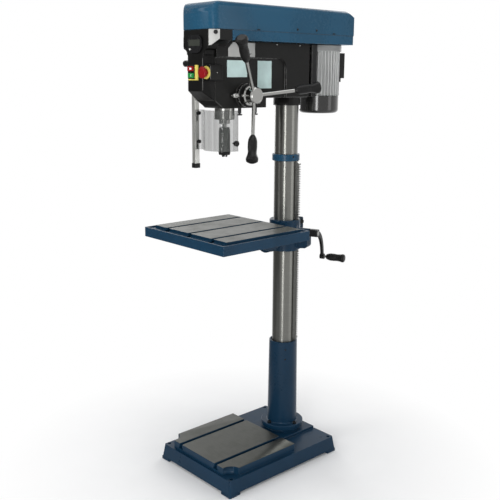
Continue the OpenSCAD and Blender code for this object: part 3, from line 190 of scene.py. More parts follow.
def cast_paint(name, color, rough=0.42, depth=0.5, spec=0.14):
    """Textured paint on a casting: crinkle grain over slow waves of the sand mould."""
    n = Nodes(name)
    cloud = n.noise(7, 4, 0.6)
    dust = n.noise(60, 4, 0.65)
    c = n.mix(n.ramp(cloud, 0.3, 0.7), shade(color, 0.85), shade(color, 1.15))
    c = n.mix(n.ramp(dust, 0.6, 0.85, 0, 0.3), c, shade(color, 1.7))
    # Edges lightened to grey where the dust noise allows: a painted highlight on the casting's edges.
    c = n.mix(n.maths("MULTIPLY", n.edges(0.002), n.ramp(dust, 0.35, 0.6, 0.25, 0.8)), c, srgb(0.42, 0.42, 0.41))
    r = n.ramp(dust, 0.3, 0.75, rough - 0.06, rough + 0.1)
    h = n.maths("ADD", n.noise(520, 3, 0.6), n.maths("MULTIPLY", n.noise(45, 2, 0.5), 1.4))
    return n.done(c, r, n.bump(h, depth, 0.0005, 0.0018), Specular_IOR_Level=spec)


def plastic(name, color, rough=0.45, grain=900, depth=0.3, edge=0.001, spec=0.16, rim=0.3, edge_tone=None):
    """Moulded plastic: fine spark-eroded grain, scuffs that change the gloss."""
    n = Nodes(name)
    cloud = n.noise(14, 3, 0.6)
    scuff = n.noise(70, 5, 0.7, stretch=(1, 1, 0.25))
    c = n.mix(n.ramp(cloud, 0.3, 0.7), shade(color, 0.88), shade(color, 1.12))
    c = n.mix(n.ramp(scuff, 0.6, 0.8, 0, 0.2), c, shade(color, 1.6))
    # Lighter edges: edge wear on most plastics; on the moulding, made strong, a painted highlight on its rounded
    # edges.
    c = n.mix(n.maths("MULTIPLY", n.edges(edge), rim), c, edge_tone or shade(color, 2.4))
    r = n.ramp(scuff, 0.35, 0.75, rough - 0.08, rough + 0.08)
    return n.done(c, r, n.bump(n.noise(grain, 2, 0.6), depth, 0.0002, edge), Specular_IOR_Level=spec)


def metal(name, color, rough=0.22, brush=(1, 1, 60), scale=30, depth=0.15, tint=0.1, smudges=0.35, turned=0.0):
    """Bare metal: brushed or turned lines along one direction, and smudges that dull it. turned spreads the
    highlights along Z."""
    n = Nodes(name)
    edge = 0.0006
    lines = n.noise(scale, 4, 0.6, stretch=brush)
    smudge = n.noise(16, 4, 0.6)
    c = n.mix(n.ramp(lines, 0.3, 0.7), shade(color, 1 - tint), shade(color, 1 + tint))
    c = n.mix(n.ramp(smudge, 0.55, 0.8, 0, smudges), c, shade(color, 0.7))
    c = n.mix(n.maths("MULTIPLY", n.edges(edge), 0.3), c, shade(color, 1.5))
    dull = n.ramp(smudge, 0.45, 0.8, 0, 0.3 * smudges)
    r = n.maths("ADD", n.ramp(lines, 0.3, 0.7, rough - 0.04, rough + 0.05), dull)
    if turned:
        around = n.add("ShaderNodeTangent")
        around.direction_type, around.axis = "RADIAL", "Z"
        n.put(n.bsdf.inputs["Tangent"], around.outputs[0])
    return n.done(c, r, n.bump(lines, depth, 0.0002, edge), Metallic=1.0, Anisotropic=turned,
                  Anisotropic_Rotation=0.25)


def machined(name, color, iron, level):
    """Enamel on a casting whose faces above the height level are ground bright."""
    n = Nodes(name)
    z = n.axis("Z")
    top = n.ramp(z, level - 0.0002, level + 0.0001)
    cloud = n.noise(9, 4, 0.6)
    peel = n.noise(320, 2, 0.5)
    grind = n.noise(34, 5, 0.65, stretch=(0.6, 14, 1))
    stain = n.noise(11, 5, 0.65)
    blue = n.mix(n.ramp(cloud, 0.3, 0.7), shade(color, 0.9), shade(color, 1.1))
    chips = n.maths("MULTIPLY", n.edges(0.0014), n.ramp(n.noise(120, 3, 0.7), 0.4, 0.7, 0.05, 0.45))
    blue = n.mix(chips, blue, shade(color, 2.4))
    bright = n.mix(n.ramp(grind, 0.3, 0.7), shade(iron, 0.8), shade(iron, 1.15))
    bright = n.mix(n.ramp(stain, 0.5, 0.8, 0, 0.45), bright, shade(iron, 0.62))
    c = n.mix(top, blue, bright)
    r = n.blend(top, n.ramp(cloud, 0.3, 0.7, 0.26, 0.38), n.ramp(stain, 0.3, 0.75, 0.3, 0.5))
    h = n.blend(top, peel, grind)
    mat = n.done(c, r, n.bump(h, 0.22, 0.0004, 0.0012), Specular_IOR_Level=0.16)
    n.put(n.bsdf.inputs["Metallic"], n.maths("MULTIPLY", top, 0.85))
    return mat


BLUE, NAVY, TABLE_BLUE = srgb(0.115, 0.3, 0.405), srgb(0.058, 0.175, 0.26), srgb(0.07, 0.2, 0.29)
BLACK, PLASTIC = srgb(0.07, 0.07, 0.067), srgb(0.036, 0.036, 0.034)
PAD_IRON, TABLE_IRON = srgb(0.29, 0.295, 0.28), srgb(0.4, 0.405, 0.39)
GROUND = 0.0004
M = {}
M["cover"] = paint("cover_paint", BLUE, rough=0.26, grain=200, depth=0.04, seam=SEAM_Z)
M["base"] = machined("base_paint_and_iron", NAVY, PAD_IRON, PAD_TOP - GROUND)
M["table"] = machined("table_paint_and_iron", TABLE_BLUE, TABLE_IRON, TABLE_TOP - GROUND)
M["navy"] = paint("navy_paint", NAVY, rough=0.32)
M["collar"] = paint("collar_paint", srgb(0.1, 0.26, 0.36), rough=0.32)
M["casting"] = cast_paint("casting_paint", BLACK)
M["casting_rim"] = cast_paint("casting_edges", srgb(0.15, 0.15, 0.145), rough=0.26, depth=0.15, spec=0.5)
M["cover_rim"] = paint("cover_edges", shade(BLUE, 1.25), rough=0.2, depth=0.02, spec=0.5, coat=0.3)
M["dark"] = cast_paint("motor_plate_paint", srgb(0.12, 0.12, 0.122), rough=0.38)
# The moulding's edges are lightened strongly to grey: a painted highlight on its rounded edges.
M["moulding"] = plastic("moulding_plastic", PLASTIC, rough=0.38, grain=700, edge=0.0022, rim=0.5,
                        edge_tone=srgb(0.3, 0.3, 0.3))
M["grip"] = plastic("grip_plastic", srgb(0.09, 0.09, 0.09), rough=0.34, grain=1100)
M["knob"] = plastic("knob_plastic", srgb(0.08, 0.08, 0.082), rough=0.34)
# Light grey for thin tubes that paint highlights along the moulding's edges.
M["shine"] = plastic("worn_edge_plastic", srgb(0.42, 0.42, 0.41), rough=0.2, spec=0.6)
M["readout"] = plastic("readout_plastic", srgb(0.1, 0.1, 0.105), rough=0.28, depth=0.12)
M["button_grey"] = plastic("button_grey_plastic", srgb(0.8, 0.8, 0.78), rough=0.35, depth=0.1)
M["yellow"] = plastic("yellow_plastic", srgb(0.84, 0.77, 0.38), rough=0.4, depth=0.15)
M["green"] = plastic("green_plastic", srgb(0.13, 0.5, 0.24), rough=0.28, depth=0.1)
M["red"] = plastic("red_plastic", srgb(0.54, 0.06, 0.085), rough=0.3, depth=0.1)
M["column"] = metal("polished_column", srgb(0.45, 0.45, 0.435), rough=0.31, brush=(1, 1, 26), scale=20, depth=0.05,
                    smudges=0.08, turned=0.9)
M["rack"] = metal("rack_steel", srgb(0.45, 0.45, 0.44), rough=0.3, brush=(1, 1, 4), scale=60)
M["steel"] = metal("turned_steel", srgb(0.55, 0.55, 0.54), rough=0.2, brush=(1, 1, 40), scale=40)
M["bright"] = metal("nickel_screw", srgb(0.8, 0.8, 0.79), rough=0.16, brush=(1, 1, 1), scale=30, tint=0.04,
                    smudges=0.1)
M["shaft"] = metal("ground_shaft", srgb(0.55, 0.55, 0.54), rough=0.16, brush=(60, 1, 1), scale=40)
M["chuck"] = metal("chuck_steel", srgb(0.16, 0.16, 0.16), rough=0.28, brush=(1, 1, 50), scale=50,
                   turned=0.7)
M["chrome"] = metal("chrome", srgb(0.6, 0.6, 0.59), rough=0.08, brush=(1, 1, 1), scale=8, depth=0.02,
                    tint=0.03)
M["screw"] = metal("black_oxide", srgb(0.2, 0.2, 0.205), rough=0.34, brush=(1, 1, 1), scale=90)
# The post's side facing +X is painted much lighter: painted light on that side.
M["post"] = paint("guard_zinc", srgb(0.5, 0.5, 0.485), rough=0.3, grain=500, depth=0.1, spec=0.6,
                  edge_tone=srgb(0.75, 0.75, 0.74), side=srgb(0.84, 0.84, 0.82))
# The motor gets painted shade at its fin roots and on its top ring under the tray.
M["motor"] = paint("motor_silver", srgb(0.8, 0.805, 0.8), rough=0.34, depth=0.15, wear=0.2,
                   edge_tone=srgb(0.9, 0.9, 0.9), fin_shade=(MOTOR_Y, FIN_ROOT))
M["cowl"] = paint("cowl_black", srgb(0.12, 0.12, 0.118), rough=0.2, depth=0.08, wear=0.3, coat=0.8)
M["pulley"] = metal("pulley_aluminium", srgb(0.66, 0.67, 0.68), rough=0.28, brush=(1, 1, 40), scale=50)
M["rubber"] = plastic("belt_rubber", srgb(0.08, 0.08, 0.08), rough=0.7, grain=500)
M["spring"] = metal("spring_steel", srgb(0.34, 0.36, 0.4), rough=0.3)
M["silver"] = paint("corner_plate", srgb(0.74, 0.74, 0.73), rough=0.4, depth=0.1)
M["teal_label"] = plastic("teal_label", srgb(0.76, 0.85, 0.84), rough=0.4, grain=200, depth=0.05, edge=0.0003)
M["grey_label"] = plastic("grey_label", srgb(0.7, 0.7, 0.69), rough=0.4, grain=200, depth=0.05, edge=0.0003)
M["white"] = plastic("white_mark", srgb(0.9, 0.9, 0.88), rough=0.4, grain=300, depth=0.05, edge=0.0002)
M["slot"] = plastic("slot_shadow", srgb(0.03, 0.03, 0.032), rough=0.6)
M["lcd"] = plastic("readout_window", srgb(0.23, 0.24, 0.22), rough=0.12, grain=60, depth=0.03, edge=0.0003)


def clear_material():
    """Lightly smoked clear plastic: see-through, darker at its edges, with faint streaks down it: painted reflections
    in its opacity, and streaks in its roughness.
    """
    n = Nodes("guard_clear")
    haze = n.noise(25, 4, 0.6)
    streak = n.noise(55, 4, 0.6, stretch=(1, 1, 0.02))
    c = n.mix(n.ramp(haze, 0.3, 0.7), srgb(0.33, 0.34, 0.33), srgb(0.4, 0.41, 0.4))
    mat = n.done(c, n.ramp(streak, 0.45, 0.8, 0.06, 0.2), n.bump(streak, 0.05, 0.0005), IOR=1.3)
    rim = n.edges(0.0015)
    # Opacity follows the streaks: painted reflections down the sheet.
    see = n.maths("MAXIMUM", n.ramp(streak, 0.35, 0.7, 0.28, 0.46), n.maths("MULTIPLY", rim, 0.75))
    n.put(n.bsdf.inputs["Alpha"], n.maths("MULTIPLY", see, n.ramp(n.axis("X"), -0.079, -0.07, 0.4, 1)))
    return mat


M["clear"] = clear_material()
FINISH = {
    "base": "base", "table": "table",
    "navy": "column_boot table_bracket table_arm",
    "collar": "upper_collar", "cover": "belt_tray belt_cover",
    "casting": "head_casting spring_housing", "dark": "motor_plate",
    "bright": "dial_lock_screw",
    "knob": "column_lock_lever guard_cap guard_knobs cover_lock_knob chuck_sleeve depth_dial crank_arm terminal_box",
    "moulding": "front_panel", "grip": "feed_grips crank_grip",
    "readout": "readout", "button_grey": "readout_button", "yellow": "switch_plate estop_ring",
    "green": "start_button", "red": "stop_button estop_button",
    "column": "column", "rack": "rack lift_pinion", "shaft": "feed_shaft crank_shaft",
    "steel": "quill spindle tilt_bolt idler_post motor_rotor sleeve_bearings quill_bearings",
    "screw": "column_fasteners cover_hinge quill_lock_screws",
    "chuck": "chuck_body chuck_jaw_1 chuck_jaw_2 chuck_jaw_3",
    "chrome": "feed_hub feed_arms", "post": "guard_post", "clear": "guard_shield",
    "motor": "motor_body", "cowl": "fan_cowl", "pulley": "motor_pulley spindle_pulley idler_pulley",
    "rubber": "drive_belts", "spring": "return_spring",
}
for key, names in FINISH.items():
    for name in names.split():
        o = nodes[name]
        o.data.materials.clear()
        o.data.materials.append(M[key])


# ---------------------------------------------------------------- mesh tools
def shape(o, angle=30):
    o.data.shade_smooth()
    o.data.set_sharp_from_angle(angle=math.radians(angle))


def add(name, bm, finish, body, matrix=None, angle=30):
    mesh = bpy.data.meshes.new(name)
    bmesh.ops.recalc_face_normals(bm, faces=bm.faces)
    bm.to_mesh(mesh)
    bm.free()
    if matrix is not None:
        mesh.transform(matrix)
    o = bpy.data.objects.new(name, mesh)
    bpy.context.scene.collection.objects.link(o)
    mesh.materials.append(M[finish])
    shape(o, angle)
    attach(o, body)
    return o


def bake(o):
    """Applies the modifiers of o."""
    deps = bpy.context.evaluated_depsgraph_get()
    mesh = bpy.data.meshes.new_from_object(o.evaluated_get(deps))
    o.modifiers.clear()
    o.data = mesh


def toward(origin, x, y, z):
    """Matrix whose local axes point along the three given directions."""
    m = Matrix((Vector(x), Vector(y), Vector(z))).transposed().to_4x4()
    m.translation = Vector(origin)
    return m


def right_face(x, y, z):
    return toward((x, y, z), (0, 1, 0), (0, 0, 1), (1, 0, 0))


def front_face(x, y, z):
    return toward((x, y, z), (1, 0, 0), (0, 0, 1), (0, -1, 0))


def rounded(w, h, r, n=5):
    """Rectangle w by h with corners of radius r, centred on 0."""
    pts = []
    x, y = w / 2 - r, h / 2 - r
    for cx, cy, a0 in ((x, y, 0), (-x, y, 90), (-x, -y, 180), (x, -y, 270)):
        for i in range(n + 1):
            a = math.radians(a0 + 90 * i / n)
            pts.append((cx + r * math.cos(a), cy + r * math.sin(a)))
    return pts


def slab(points, thick, edge=0.0003):
    """Outline drawn in local X and Y, made thick along Z, with rounded upper edges."""
    bm = bmesh.new()
    bottom = [bm.verts.new((x, y, 0)) for x, y in points]
    face = bm.faces.new(bottom)
    grown = bmesh.ops.extrude_face_region(bm, geom=[face])["geom"]
    top = [v for v in grown if isinstance(v, bmesh.types.BMVert)]
    bmesh.ops.translate(bm, verts=top, vec=(0, 0, thick))
    if edge:
        ring = [e for e in bm.edges if all(v in top for v in e.verts)]
        bmesh.ops.bevel(bm, geom=ring, offset=edge, segments=3, profile=0.5, affect="EDGES")
    return bm


def lathe(profile, steps=48, wave=None):
    """Turns (radius, height) points round Z. wave(angle, height) scales the radius, for knurls and flutes."""
    bm = bmesh.new()
    rings = []
    for r, z in profile:
        if r < 1e-6:
            rings.append([bm.verts.new((0, 0, z))] * steps)
            continue
        ring = []
        for i in range(steps):
            a = 2 * math.pi * i / steps
            k = wave(a, z) if wave else 1.0
            ring.append(bm.verts.new((r * k * math.cos(a), r * k * math.sin(a), z)))
        rings.append(ring)
    for lower, upper in zip(rings, rings[1:]):
        for i in range(steps):
            j = (i + 1) % steps
            corners = []
            for v in (lower[i], lower[j], upper[j], upper[i]):
                if v not in corners:
                    corners.append(v)
            if len(corners) > 2:
                bm.faces.new(corners)
    return bm


def join(bm, other, matrix):
    mesh = bpy.data.meshes.new("part")
    other.to_mesh(mesh)
    other.free()
    mesh.transform(matrix)
    bm.from_mesh(mesh)
    bpy.data.meshes.remove(mesh)


def socket_screw(r, h):
    """Cap screw head with a round socket, standing on z = 0."""
    return lathe([(0, 0.45 * h), (0.5 * r, 0.45 * h), (0.56 * r, h), (0.9 * r, h), (r, 0.86 * h), (r, 0)], 36)


def button_screw(r, h):
    """Domed screw head with a round recess, standing on z = 0."""
    return lathe([(0, 0.5 * h), (0.42 * r, 0.5 * h), (0.5 * r, 0.96 * h), (0.72 * r, 0.8 * h),
                  (0.92 * r, 0.45 * h), (r, 0.1 * h), (r, 0)], 36)


def refined(node, width, finish, rim=None, crisp=28, front=-9):
    """A copy of a CAD node with its long edges rounded, in the material rim if one is named, which stands for that
    node. Edges of fewer than crisp degrees only shade round, and edges in front of y = front stay sharp."""
    source = nodes[node]
    bm = bmesh.new()
    bm.from_mesh(source.data)
    bmesh.ops.remove_doubles(bm, verts=bm.verts, dist=2e-5)
    bmesh.ops.dissolve_limit(bm, angle_limit=math.radians(0.7), verts=bm.verts, edges=bm.edges)
    weight = bm.edges.layers.float.get("bevel_weight_edge") or bm.edges.layers.float.new("bevel_weight_edge")
    thin = {}
    for f in bm.faces:
        thin[f] = 2 * f.calc_area() / max(1e-9, f.calc_perimeter())
    for e in bm.edges:
        if len(e.link_faces) != 2 or e.calc_length() < 2.5 * width or max(v.co.y for v in e.verts) < front:
            continue
        if e.calc_face_angle(0) >= math.radians(crisp) and min(thin[f] for f in e.link_faces) >= 2.2 * width:
            e[weight] = 1.0
    for f in bm.faces:
        f.material_index = 0
    mesh = bpy.data.meshes.new(node + "_rounded")
    bm.to_mesh(mesh)
    bm.free()
    o = bpy.data.objects.new(node + "_rounded", mesh)
    bpy.context.scene.collection.objects.link(o)
    mod = o.modifiers.new("round", "BEVEL")
    mod.width, mod.segments, mod.limit_method = width, 3, "WEIGHT"
    mod.use_clamp_overlap, mod.profile = False, 0.5
    o.data.materials.append(M[finish])
    if rim:
        o.data.materials.append(M[rim])
        mod.material = 1
    bake(o)
    shape(o, max(32, crisp))
    weighted = o.modifiers.new("normals", "WEIGHTED_NORMAL")
    weighted.keep_sharp = True
    bake(o)
    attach(o, body_of[node])
    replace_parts(o, node)
    return o


def softened(node, voxel, rounds, finish):
    """A copy of a CAD node remeshed and smoothed all over, as a moulding or casting leaves its tool."""
    o = bpy.data.objects.new(node + "_soft", nodes[node].data.copy())
    bpy.context.scene.collection.objects.link(o)
    mod = o.modifiers.new("skin", "REMESH")
    mod.mode, mod.voxel_size, mod.use_smooth_shade = "VOXEL", voxel, True
    mod = o.modifiers.new("smooth", "SMOOTH")
    mod.factor, mod.iterations = 0.5, rounds
    bake(o)
    o.data.materials.clear()
    o.data.materials.append(M[finish])
    o.data.shade_smooth()
    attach(o, body_of[node])
    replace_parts(o, node)
    return o


def reopened(o, cutters):
    """Cuts the pockets of o, which softening narrowed, back to their full width."""
    solids = []
    for bm, matrix in cutters:
        mesh = bpy.data.meshes.new("pocket")
        bmesh.ops.recalc_face_normals(bm, faces=bm.faces)
        bm.to_mesh(mesh)
        bm.free()
        mesh.transform(matrix)
        solid = bpy.data.objects.new("pocket", mesh)
        bpy.context.scene.collection.objects.link(solid)
        mod = o.modifiers.new("pocket", "BOOLEAN")
        mod.operation, mod.solver, mod.object = "DIFFERENCE", "EXACT", solid
        solids.append(solid)
    bake(o)
    shape(o, 55)
    for solid in solids:
        bpy.data.objects.remove(solid)


# ---------------------------------------------------------------- rounded and softened shells
refined("base", 0.0022, "base")
refined("table", 0.0016, "table")
refined("table_arm", 0.002, "navy")
refined("table_bracket", 0.0025, "navy")
refined("belt_tray", 0.0007, "cover", "cover_rim")
refined("belt_cover", 0.0007, "cover", "cover_rim", crisp=58)
refined("head_casting", 0.003, "casting", "casting_rim", front=-0.2)
refined("motor_plate", 0.0016, "dark", "casting_rim")
refined("terminal_box", 0.0018, "knob")
refined("crank_arm", 0.0018, "knob")
refined("guard_cap", 0.0035, "knob")
panel = softened("front_panel", 0.0016, 5, "moulding")
into = ((1, 0, 0), (0, 0, -1), (0, 1, 0))
pocket = [(-0.01625, -0.00825), (0.01625, -0.00825), (0.01625, 0.00825), (-0.01625, 0.00825)]
stem_bore = lathe([(0, 0), (0.01275, 0), (0.01275, 0.0165), (0, 0.0165)], 64)
cutters = [(stem_bore, toward((STOP_X, STOP_FACE - 0.002, STOP_Z), *into))]
for z in BUTTON_ZS:
    cutters.append((slab(pocket, 0.0095, 0), toward((BUTTON_X, PANEL_FACE - 0.002, z), *into)))
reopened(panel, cutters)

# Thin light-grey tubes along the moulding's edges: painted highlights where its rounded edges catch the light
for name, x, y, low, high, r in (("panel_edge_shine", 0.0442, PANEL_FACE + 0.0006, 1.476, 1.583, 0.0008),
                                 ("stop_box_shine", 0.0796, STOP_FACE + 0.0004, 1.512, 1.558, 0.0006)):
    add(name, lathe([(0, low), (r, low + r), (r, high - r), (0, high)], 12), "shine", "stand",
        Matrix.Translation((x, y, 0)))

# ---------------------------------------------------------------- bare label panels and plates
LABEL_T = 0.0003
add("label_upper_teal", slab(rounded(0.094, 0.058, 0.001, 2), LABEL_T, 0), "teal_label", "stand",
    right_face(BAY_SIDE, -0.117, 1.549))
add("label_side_teal", slab(rounded(0.070, 0.098, 0.001, 2), LABEL_T, 0), "teal_label", "stand",
    right_face(BAY_SIDE, 0.016, 1.529))
cut_corner = [(0.063, -0.0245), (0.063, 0.0245), (-0.041, 0.0245), (-0.063, 0.0035), (-0.063, -0.0245)]
add("label_grey", slab(cut_corner, LABEL_T, 0), "grey_label", "stand",
    right_face(HEAD_SIDE, -0.1025, 1.6145))
corner = Vector((30, -26, 0)).normalized()
along = Vector((26, 30, 0)).normalized()
corner_frame = toward((0.082, -0.246, 0), along, (0, 0, 1), corner)
plate = [(-0.0192, 1.6784), (-0.0192, 1.626), (-0.010, 1.626), (0.0192, 1.648), (0.0192, 1.6784)]
add("corner_plate", slab(plate, 0.0012, 0.0004), "silver", "stand", corner_frame)

# Belt case: dark slabs that paint the shade in the slots along the seam, screws along the seam, and the screws in the
# head's side
for i, y in enumerate((-0.054, 0.340)):
    add("seam_slot_%d" % i, slab(rounded(0.015, 0.0042, 0.001, 3), 0.0004, 0.0001), "slot", "belt_cover",
        right_face(COVER_SIDE, y, SEAM_Z + 0.0045))
for i, y in enumerate((0.141, 0.242)):
    add("case_screw_%d" % i, button_screw(0.0045, 0.0028), "screw", "belt_cover",
        right_face(COVER_SIDE, y, SEAM_Z + 0.013))
for i, (y, z) in enumerate(((0.07, 1.637), (0.19, 1.637), (0.222, 1.462), (-0.06, 1.600))):
    add("head_screw_%d" % i, button_screw(0.0034, 0.0022), "steel", "stand",
        right_face(HEAD_SIDE, y, z))

# Readout window, switch marks and the stop box's screws
add("readout_window", slab(rounded(0.064, 0.022, 0.0015, 3), 0.0006, 0.0002), "lcd", "stand",
    front_face(-0.002, PANEL_FACE + 0.001, 1.635))
add("stop_mark", slab(rounded(0.014, 0.007, 0.0008, 3), 0.0004, 0.0001), "white", "stop_button",
    front_face(BUTTON_X, PANEL_FACE - 0.0057, BUTTON_ZS[0]))
add("start_mark", slab(rounded(0.0022, 0.008, 0.0006, 3), 0.0004, 0.0001), "white", "start_button",
    front_face(BUTTON_X, PANEL_FACE - 0.0037, BUTTON_ZS[1]))
for i, (x, z) in enumerate(((-0.018, 0.0255), (0.018, 0.0255), (-0.018, -0.0255), (0.018, -0.0255))):
    add("stop_box_screw_%d" % i, button_screw(0.0022, 0.0012), "screw", "stand",
        front_face(STOP_X + x, STOP_FACE, STOP_Z + z))
add("stop_box_side_screw", button_screw(0.0025, 0.0014), "steel", "stand",
    right_face(0.080, STOP_FACE + 0.03, STOP_Z))


# ---------------------------------------------------------------- turned and knurled pieces
def knurl(count, depth, low, high):
    """Radius factor with count grooves of the given depth, between two heights."""
    def wave(a, z):
        if not low < z < high:
            return 1.0
        return 1.0 - depth * (0.5 + 0.5 * math.cos(count * a)) ** 2
    return wave


def ring_points(r, z0, z1, n):
    return [(r, z0 + (z1 - z0) * i / n) for i in range(n + 1)]


screw_frame = toward((0.0625, FEED_Y, HUB_Z), (1, 0, 0), (0, 0, -1), (0, -1, 0))
bm = lathe([(0, 0.0162), (0.0029, 0.0162), (0.0029, 0.0418), (0.005, 0.0418), (0.0068, 0.0446)]
           + ring_points(0.0068, 0.0452, 0.0632, 4)
           + [(0.0066, 0.0638), (0.0058, 0.0656), (0.0036, 0.0656), (0.003, 0.065), (0, 0.065)],
           96, knurl(24, 0.1, 0.0451, 0.0633))
o = add("dial_lock_screw_knurled", bm, "bright", "dial_lock_screw", screw_frame, 40)
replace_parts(o, "dial_lock_screw")

on_spindle = Matrix.Translation((0, SPIN_Y, 0))
bm = lathe([(0.0062, 1.2445), (0.0146, 1.244), (0.0165, 1.246), (0.0165, 1.2573), (0.02, 1.2573), (0.021, 1.2593)]
           + ring_points(0.021, 1.262, 1.288, 6) + [(0.0204, 1.289), (0.0204, 1.291), (0.021, 1.292)]
           + ring_points(0.021, 1.2945, 1.327, 6)
           + [(0.0206, 1.3335), (0.019, 1.338), (0.019, 1.342), (0.008, 1.342)],
           144, knurl(36, 0.035, 1.2615, 1.2885))
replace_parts(add("chuck_body_knurled", bm, "chuck", "spindle", on_spindle, 40), "chuck_body")
nose = [(0.0203 + 0.0017 * t, 1.2427 + 0.0103 * t) for t in (0.05, 0.2, 0.5, 0.8, 0.98)]
bm = lathe([(0.0166, 1.2422), (0.0195, 1.242), (0.0203, 1.2427)] + nose
           + [(0.022, 1.254), (0.022, 1.2562), (0.0213, 1.257), (0.0166, 1.257)],
           144, knurl(18, 0.09, 1.2428, 1.2535))
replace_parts(add("chuck_sleeve_fluted", bm, "knob", "chuck_sleeve", on_spindle, 40), "chuck_sleeve")

# Depth dial: graduation ticks on its rim
dial_frame = toward((0.0553, FEED_Y, HUB_Z), (0, 1, 0), (0, 0, 1), (1, 0, 0))
bm = bmesh.new()
for i in range(60):
    a = 2 * math.pi * i / 60
    long = 0.0085 if i % 5 == 0 else 0.005
    tick = slab([(-0.00035, 0), (0.00035, 0), (0.00035, long), (-0.00035, long)], 0.0002, 0)
    join(bm, tick, toward(Vector((0.041 * math.cos(a), 0.041 * math.sin(a), 0.0134 - long)),
                          (-math.sin(a), math.cos(a), 0), (0, 0, 1), (math.cos(a), math.sin(a), 0)))
add("dial_ticks", bm, "white", "depth_dial", dial_frame)

# Hub: turned front disc with a raised rim
hub_frame = toward((0, FEED_Y, HUB_Z), (0, 1, 0), (0, 0, 1), (1, 0, 0))
bm = lathe([(0, 0.1203), (0.0236, 0.1203), (0.0242, 0.1209), (0.0256, 0.1209), (0.0262, 0.1203),
            (0.0265, 0.1199)], 96)
add("hub_disc", bm, "chrome", "feed_handle", hub_frame, 40)

# Motor: flange bolts, bare rating plate and terminal box screws
for i, a in enumerate((20, 110, 200, 290)):
    r = math.radians(a)
    m = Matrix.Translation((0.078 * math.cos(r), MOTOR_Y + 0.078 * math.sin(r), 1.6435))
    add("motor_bolt_%d" % i, socket_screw(0.004, 0.001), "screw", "stand", m)
r = math.radians(-20)
outward = Vector((math.cos(r), math.sin(r), 0))
plate_frame = toward(Vector((0, MOTOR_Y, 1.423)) + 0.0789 * outward, (-math.sin(r), math.cos(r), 0), (0, 0, 1),
                     outward)
bm = bmesh.new()
bend = 0.0793
turns = [-0.22 + 0.44 * i / 10 for i in range(11)]
rows = [[bm.verts.new((bend * math.sin(t), z, bend * math.cos(t) - bend)) for t in turns] for z in (-0.015, 0.015)]
for i in range(10):
    bm.faces.new((rows[0][i], rows[0][i + 1], rows[1][i + 1], rows[1][i]))
bmesh.ops.solidify(bm, geom=bm.faces[:], thickness=0.0003)
add("motor_plate_bare", bm, "grey_label", "stand", plate_frame)
for i, (x, z) in enumerate(((-0.036, 1.523), (0.036, 1.523), (-0.036, 1.609), (0.036, 1.609))):
    m = toward((x, TERMINAL_FACE, z), (-1, 0, 0), (0, 0, 1), (0, 1, 0))
    add("terminal_screw_%d" % i, button_screw(0.0032, 0.0008), "screw", "stand", m)


# ---------------------------------------------------------------- camera
CAMERA_AT, LENS, SENSOR = (2.1711, -1.9638, 1.5271), 55.568, 36
yaw, pitch, roll = math.radians(47.930), math.radians(12.765), math.radians(0.315)
forward = Vector((-math.sin(yaw) * math.cos(pitch), math.cos(yaw) * math.cos(pitch), -math.sin(pitch)))
right = Vector((math.cos(yaw), math.sin(yaw), 0))
up = right.cross(forward)
right, up = right * math.cos(roll) + up * math.sin(roll), up * math.cos(roll) - right * math.sin(roll)
camera = bpy.data.objects.new("camera", bpy.data.cameras.new("camera"))
bpy.context.scene.collection.objects.link(camera)
camera.matrix_world = toward(CAMERA_AT, right, up, -forward)
camera.data.lens, camera.data.sensor_width = LENS, SENSOR
camera.data.clip_end = 60
bpy.context.scene.camera = camera


# ---------------------------------------------------------------- floor and white surroundings
DARK_SIDE, DARK_FROM, DARK_FULL, DARKNESS = (-0.76, -0.65, 0), 0.3, 0.85, 0.75
FLOOR_REACH, FLOOR_DROP = 12, 0.0005
WHITE_FROM, WHITE_AT = 0.35, 1.0
PALE = srgb(0.94, 0.94, 0.94), srgb(0.96, 0.96, 0.96)
SKY, SKY_STRENGTH = (0.95, 0.97, 1.0, 1), 0.26


def wired(tree, kind, operation, *values):
    """First output of a new node with this operation, its inputs joined or set in order."""
    n = tree.nodes.new(kind)
    n.operation = operation
    for socket, value in zip(n.inputs, values):
        if isinstance(value, bpy.types.NodeSocket):
            tree.links.new(value, socket)
        else:
            socket.default_value = value
    return n.outputs["Value"] if operation in ("DOT_PRODUCT", "LENGTH") else n.outputs[0]


def white_rays(tree, direction):
    """1 on the rays that see plain white, and that white's strength, less in reflections towards the dark side."""
    rays = tree.nodes.new("ShaderNodeLightPath").outputs
    shown = rays["Is Camera Ray"]
    for kind in ("Is Glossy Ray", "Is Transmission Ray"):
        shown = wired(tree, "ShaderNodeMath", "MAXIMUM", shown, rays[kind])
    unit = wired(tree, "ShaderNodeVectorMath", "NORMALIZE", direction)
    spread = tree.nodes.new("ShaderNodeMapRange")
    spread.interpolation_type = "SMOOTHSTEP"
    spread.inputs["From Min"].default_value, spread.inputs["From Max"].default_value = DARK_FROM, DARK_FULL
    tree.links.new(wired(tree, "ShaderNodeVectorMath", "DOT_PRODUCT", unit, DARK_SIDE), spread.inputs["Value"])
    dark = wired(tree, "ShaderNodeMath", "MULTIPLY", spread.outputs[0], rays["Is Glossy Ray"])
    return shown, wired(tree, "ShaderNodeMath", "MULTIPLY_ADD", dark, -DARKNESS, 1.0)


def mixed(tree, amount, first, second, socket):
    """Joins a mix of two shaders to the socket of an output node."""
    n = tree.nodes.new("ShaderNodeMixShader")
    for into, value in zip(n.inputs, (amount, first, second)):
        tree.links.new(value, into)
    tree.links.new(n.outputs[0], socket)


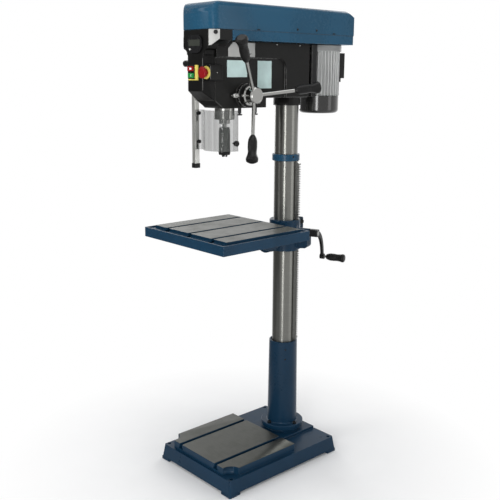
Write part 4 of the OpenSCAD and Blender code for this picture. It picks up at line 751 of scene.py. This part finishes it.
pale = Nodes("floor_pale")
tree = pale.tree
pale.done(pale.mix(pale.ramp(pale.noise(3, 4, 0.6), 0.3, 0.7), *PALE), 0.75)
glow = tree.nodes.new("ShaderNodeEmission")
shown, strength = white_rays(tree, pale.coord)
tree.links.new(strength, glow.inputs["Strength"])
away = pale.ramp(wired(tree, "ShaderNodeVectorMath", "LENGTH", pale.coord), WHITE_FROM, WHITE_AT)
mixed(tree, pale.maths("MULTIPLY", away, shown), pale.bsdf.outputs[0], glow.outputs[0],
      tree.nodes["Material Output"].inputs["Surface"])
mesh = bpy.data.meshes.new("floor")
corners = [(x * FLOOR_REACH, y * FLOOR_REACH, -FLOOR_DROP) for x, y in ((-1, -1), (1, -1), (1, 1), (-1, 1))]
mesh.from_pydata(corners, [], [(0, 1, 2, 3)])
mesh.materials.append(pale.mat)
floor = bpy.data.objects.new("floor", mesh)
bpy.context.scene.collection.objects.link(floor)

world = bpy.data.worlds.new("studio")
bpy.context.scene.world = world
world.use_nodes = True
tree = world.node_tree
sky = tree.nodes["Background"]
sky.inputs["Color"].default_value, sky.inputs["Strength"].default_value = SKY, SKY_STRENGTH
white = tree.nodes.new("ShaderNodeBackground")
white.inputs["Color"].default_value = (1, 1, 1, 1)
shown, strength = white_rays(tree, tree.nodes.new("ShaderNodeTexCoord").outputs["Generated"])
tree.links.new(strength, white.inputs["Strength"])
mixed(tree, shown, sky.outputs[0], white.outputs[0], tree.nodes["World Output"].inputs["Surface"])


# ---------------------------------------------------------------- lamps
def lamp(name, at, to, size, power, mirrored=True):
    """Area lamp at one point facing another. An unmirrored lamp lights but leaves no highlight."""
    data = bpy.data.lights.new(name, "AREA")
    data.shape, data.size, data.size_y = "RECTANGLE", size[0], size[1]
    data.energy = power
    o = bpy.data.objects.new(name, data)
    bpy.context.scene.collection.objects.link(o)
    o.visible_glossy = mirrored
    o.location = at
    o.rotation_mode = "QUATERNION"
    o.rotation_quaternion = (Vector(to) - Vector(at)).to_track_quat("-Z", "Y")


lamp("key", (-1.5, -3.4, 3.0), (0, 0, 1.1), (1.6, 2.0), 44)
lamp("strip", (2.15, -2.95, 0.95), (0, 0.1, 0.8), (0.75, 1.7), 48)
lamp("strip_fill", (2.15, -2.95, 2.35), (0, 0.1, 1.2), (0.75, 1.1), 30, mirrored=False)
lamp("side", (3.6, 1.7, 1.6), (0, 0.1, 0.9), (1.3, 3.0), 20)
lamp("top", (0.2, -0.2, 4.6), (0, 0, 1.0), (3.0, 3.0), 44)
lamp("rear", (-0.8, 3.6, 2.8), (0, 0.2, 1.1), (1.6, 2.2), 46)
lamp("left", (-3.6, 1.0, 2.2), (0, 0.1, 1.1), (1.2, 2.4), 40)
bpy.context.scene.view_settings.view_transform = "Standard"
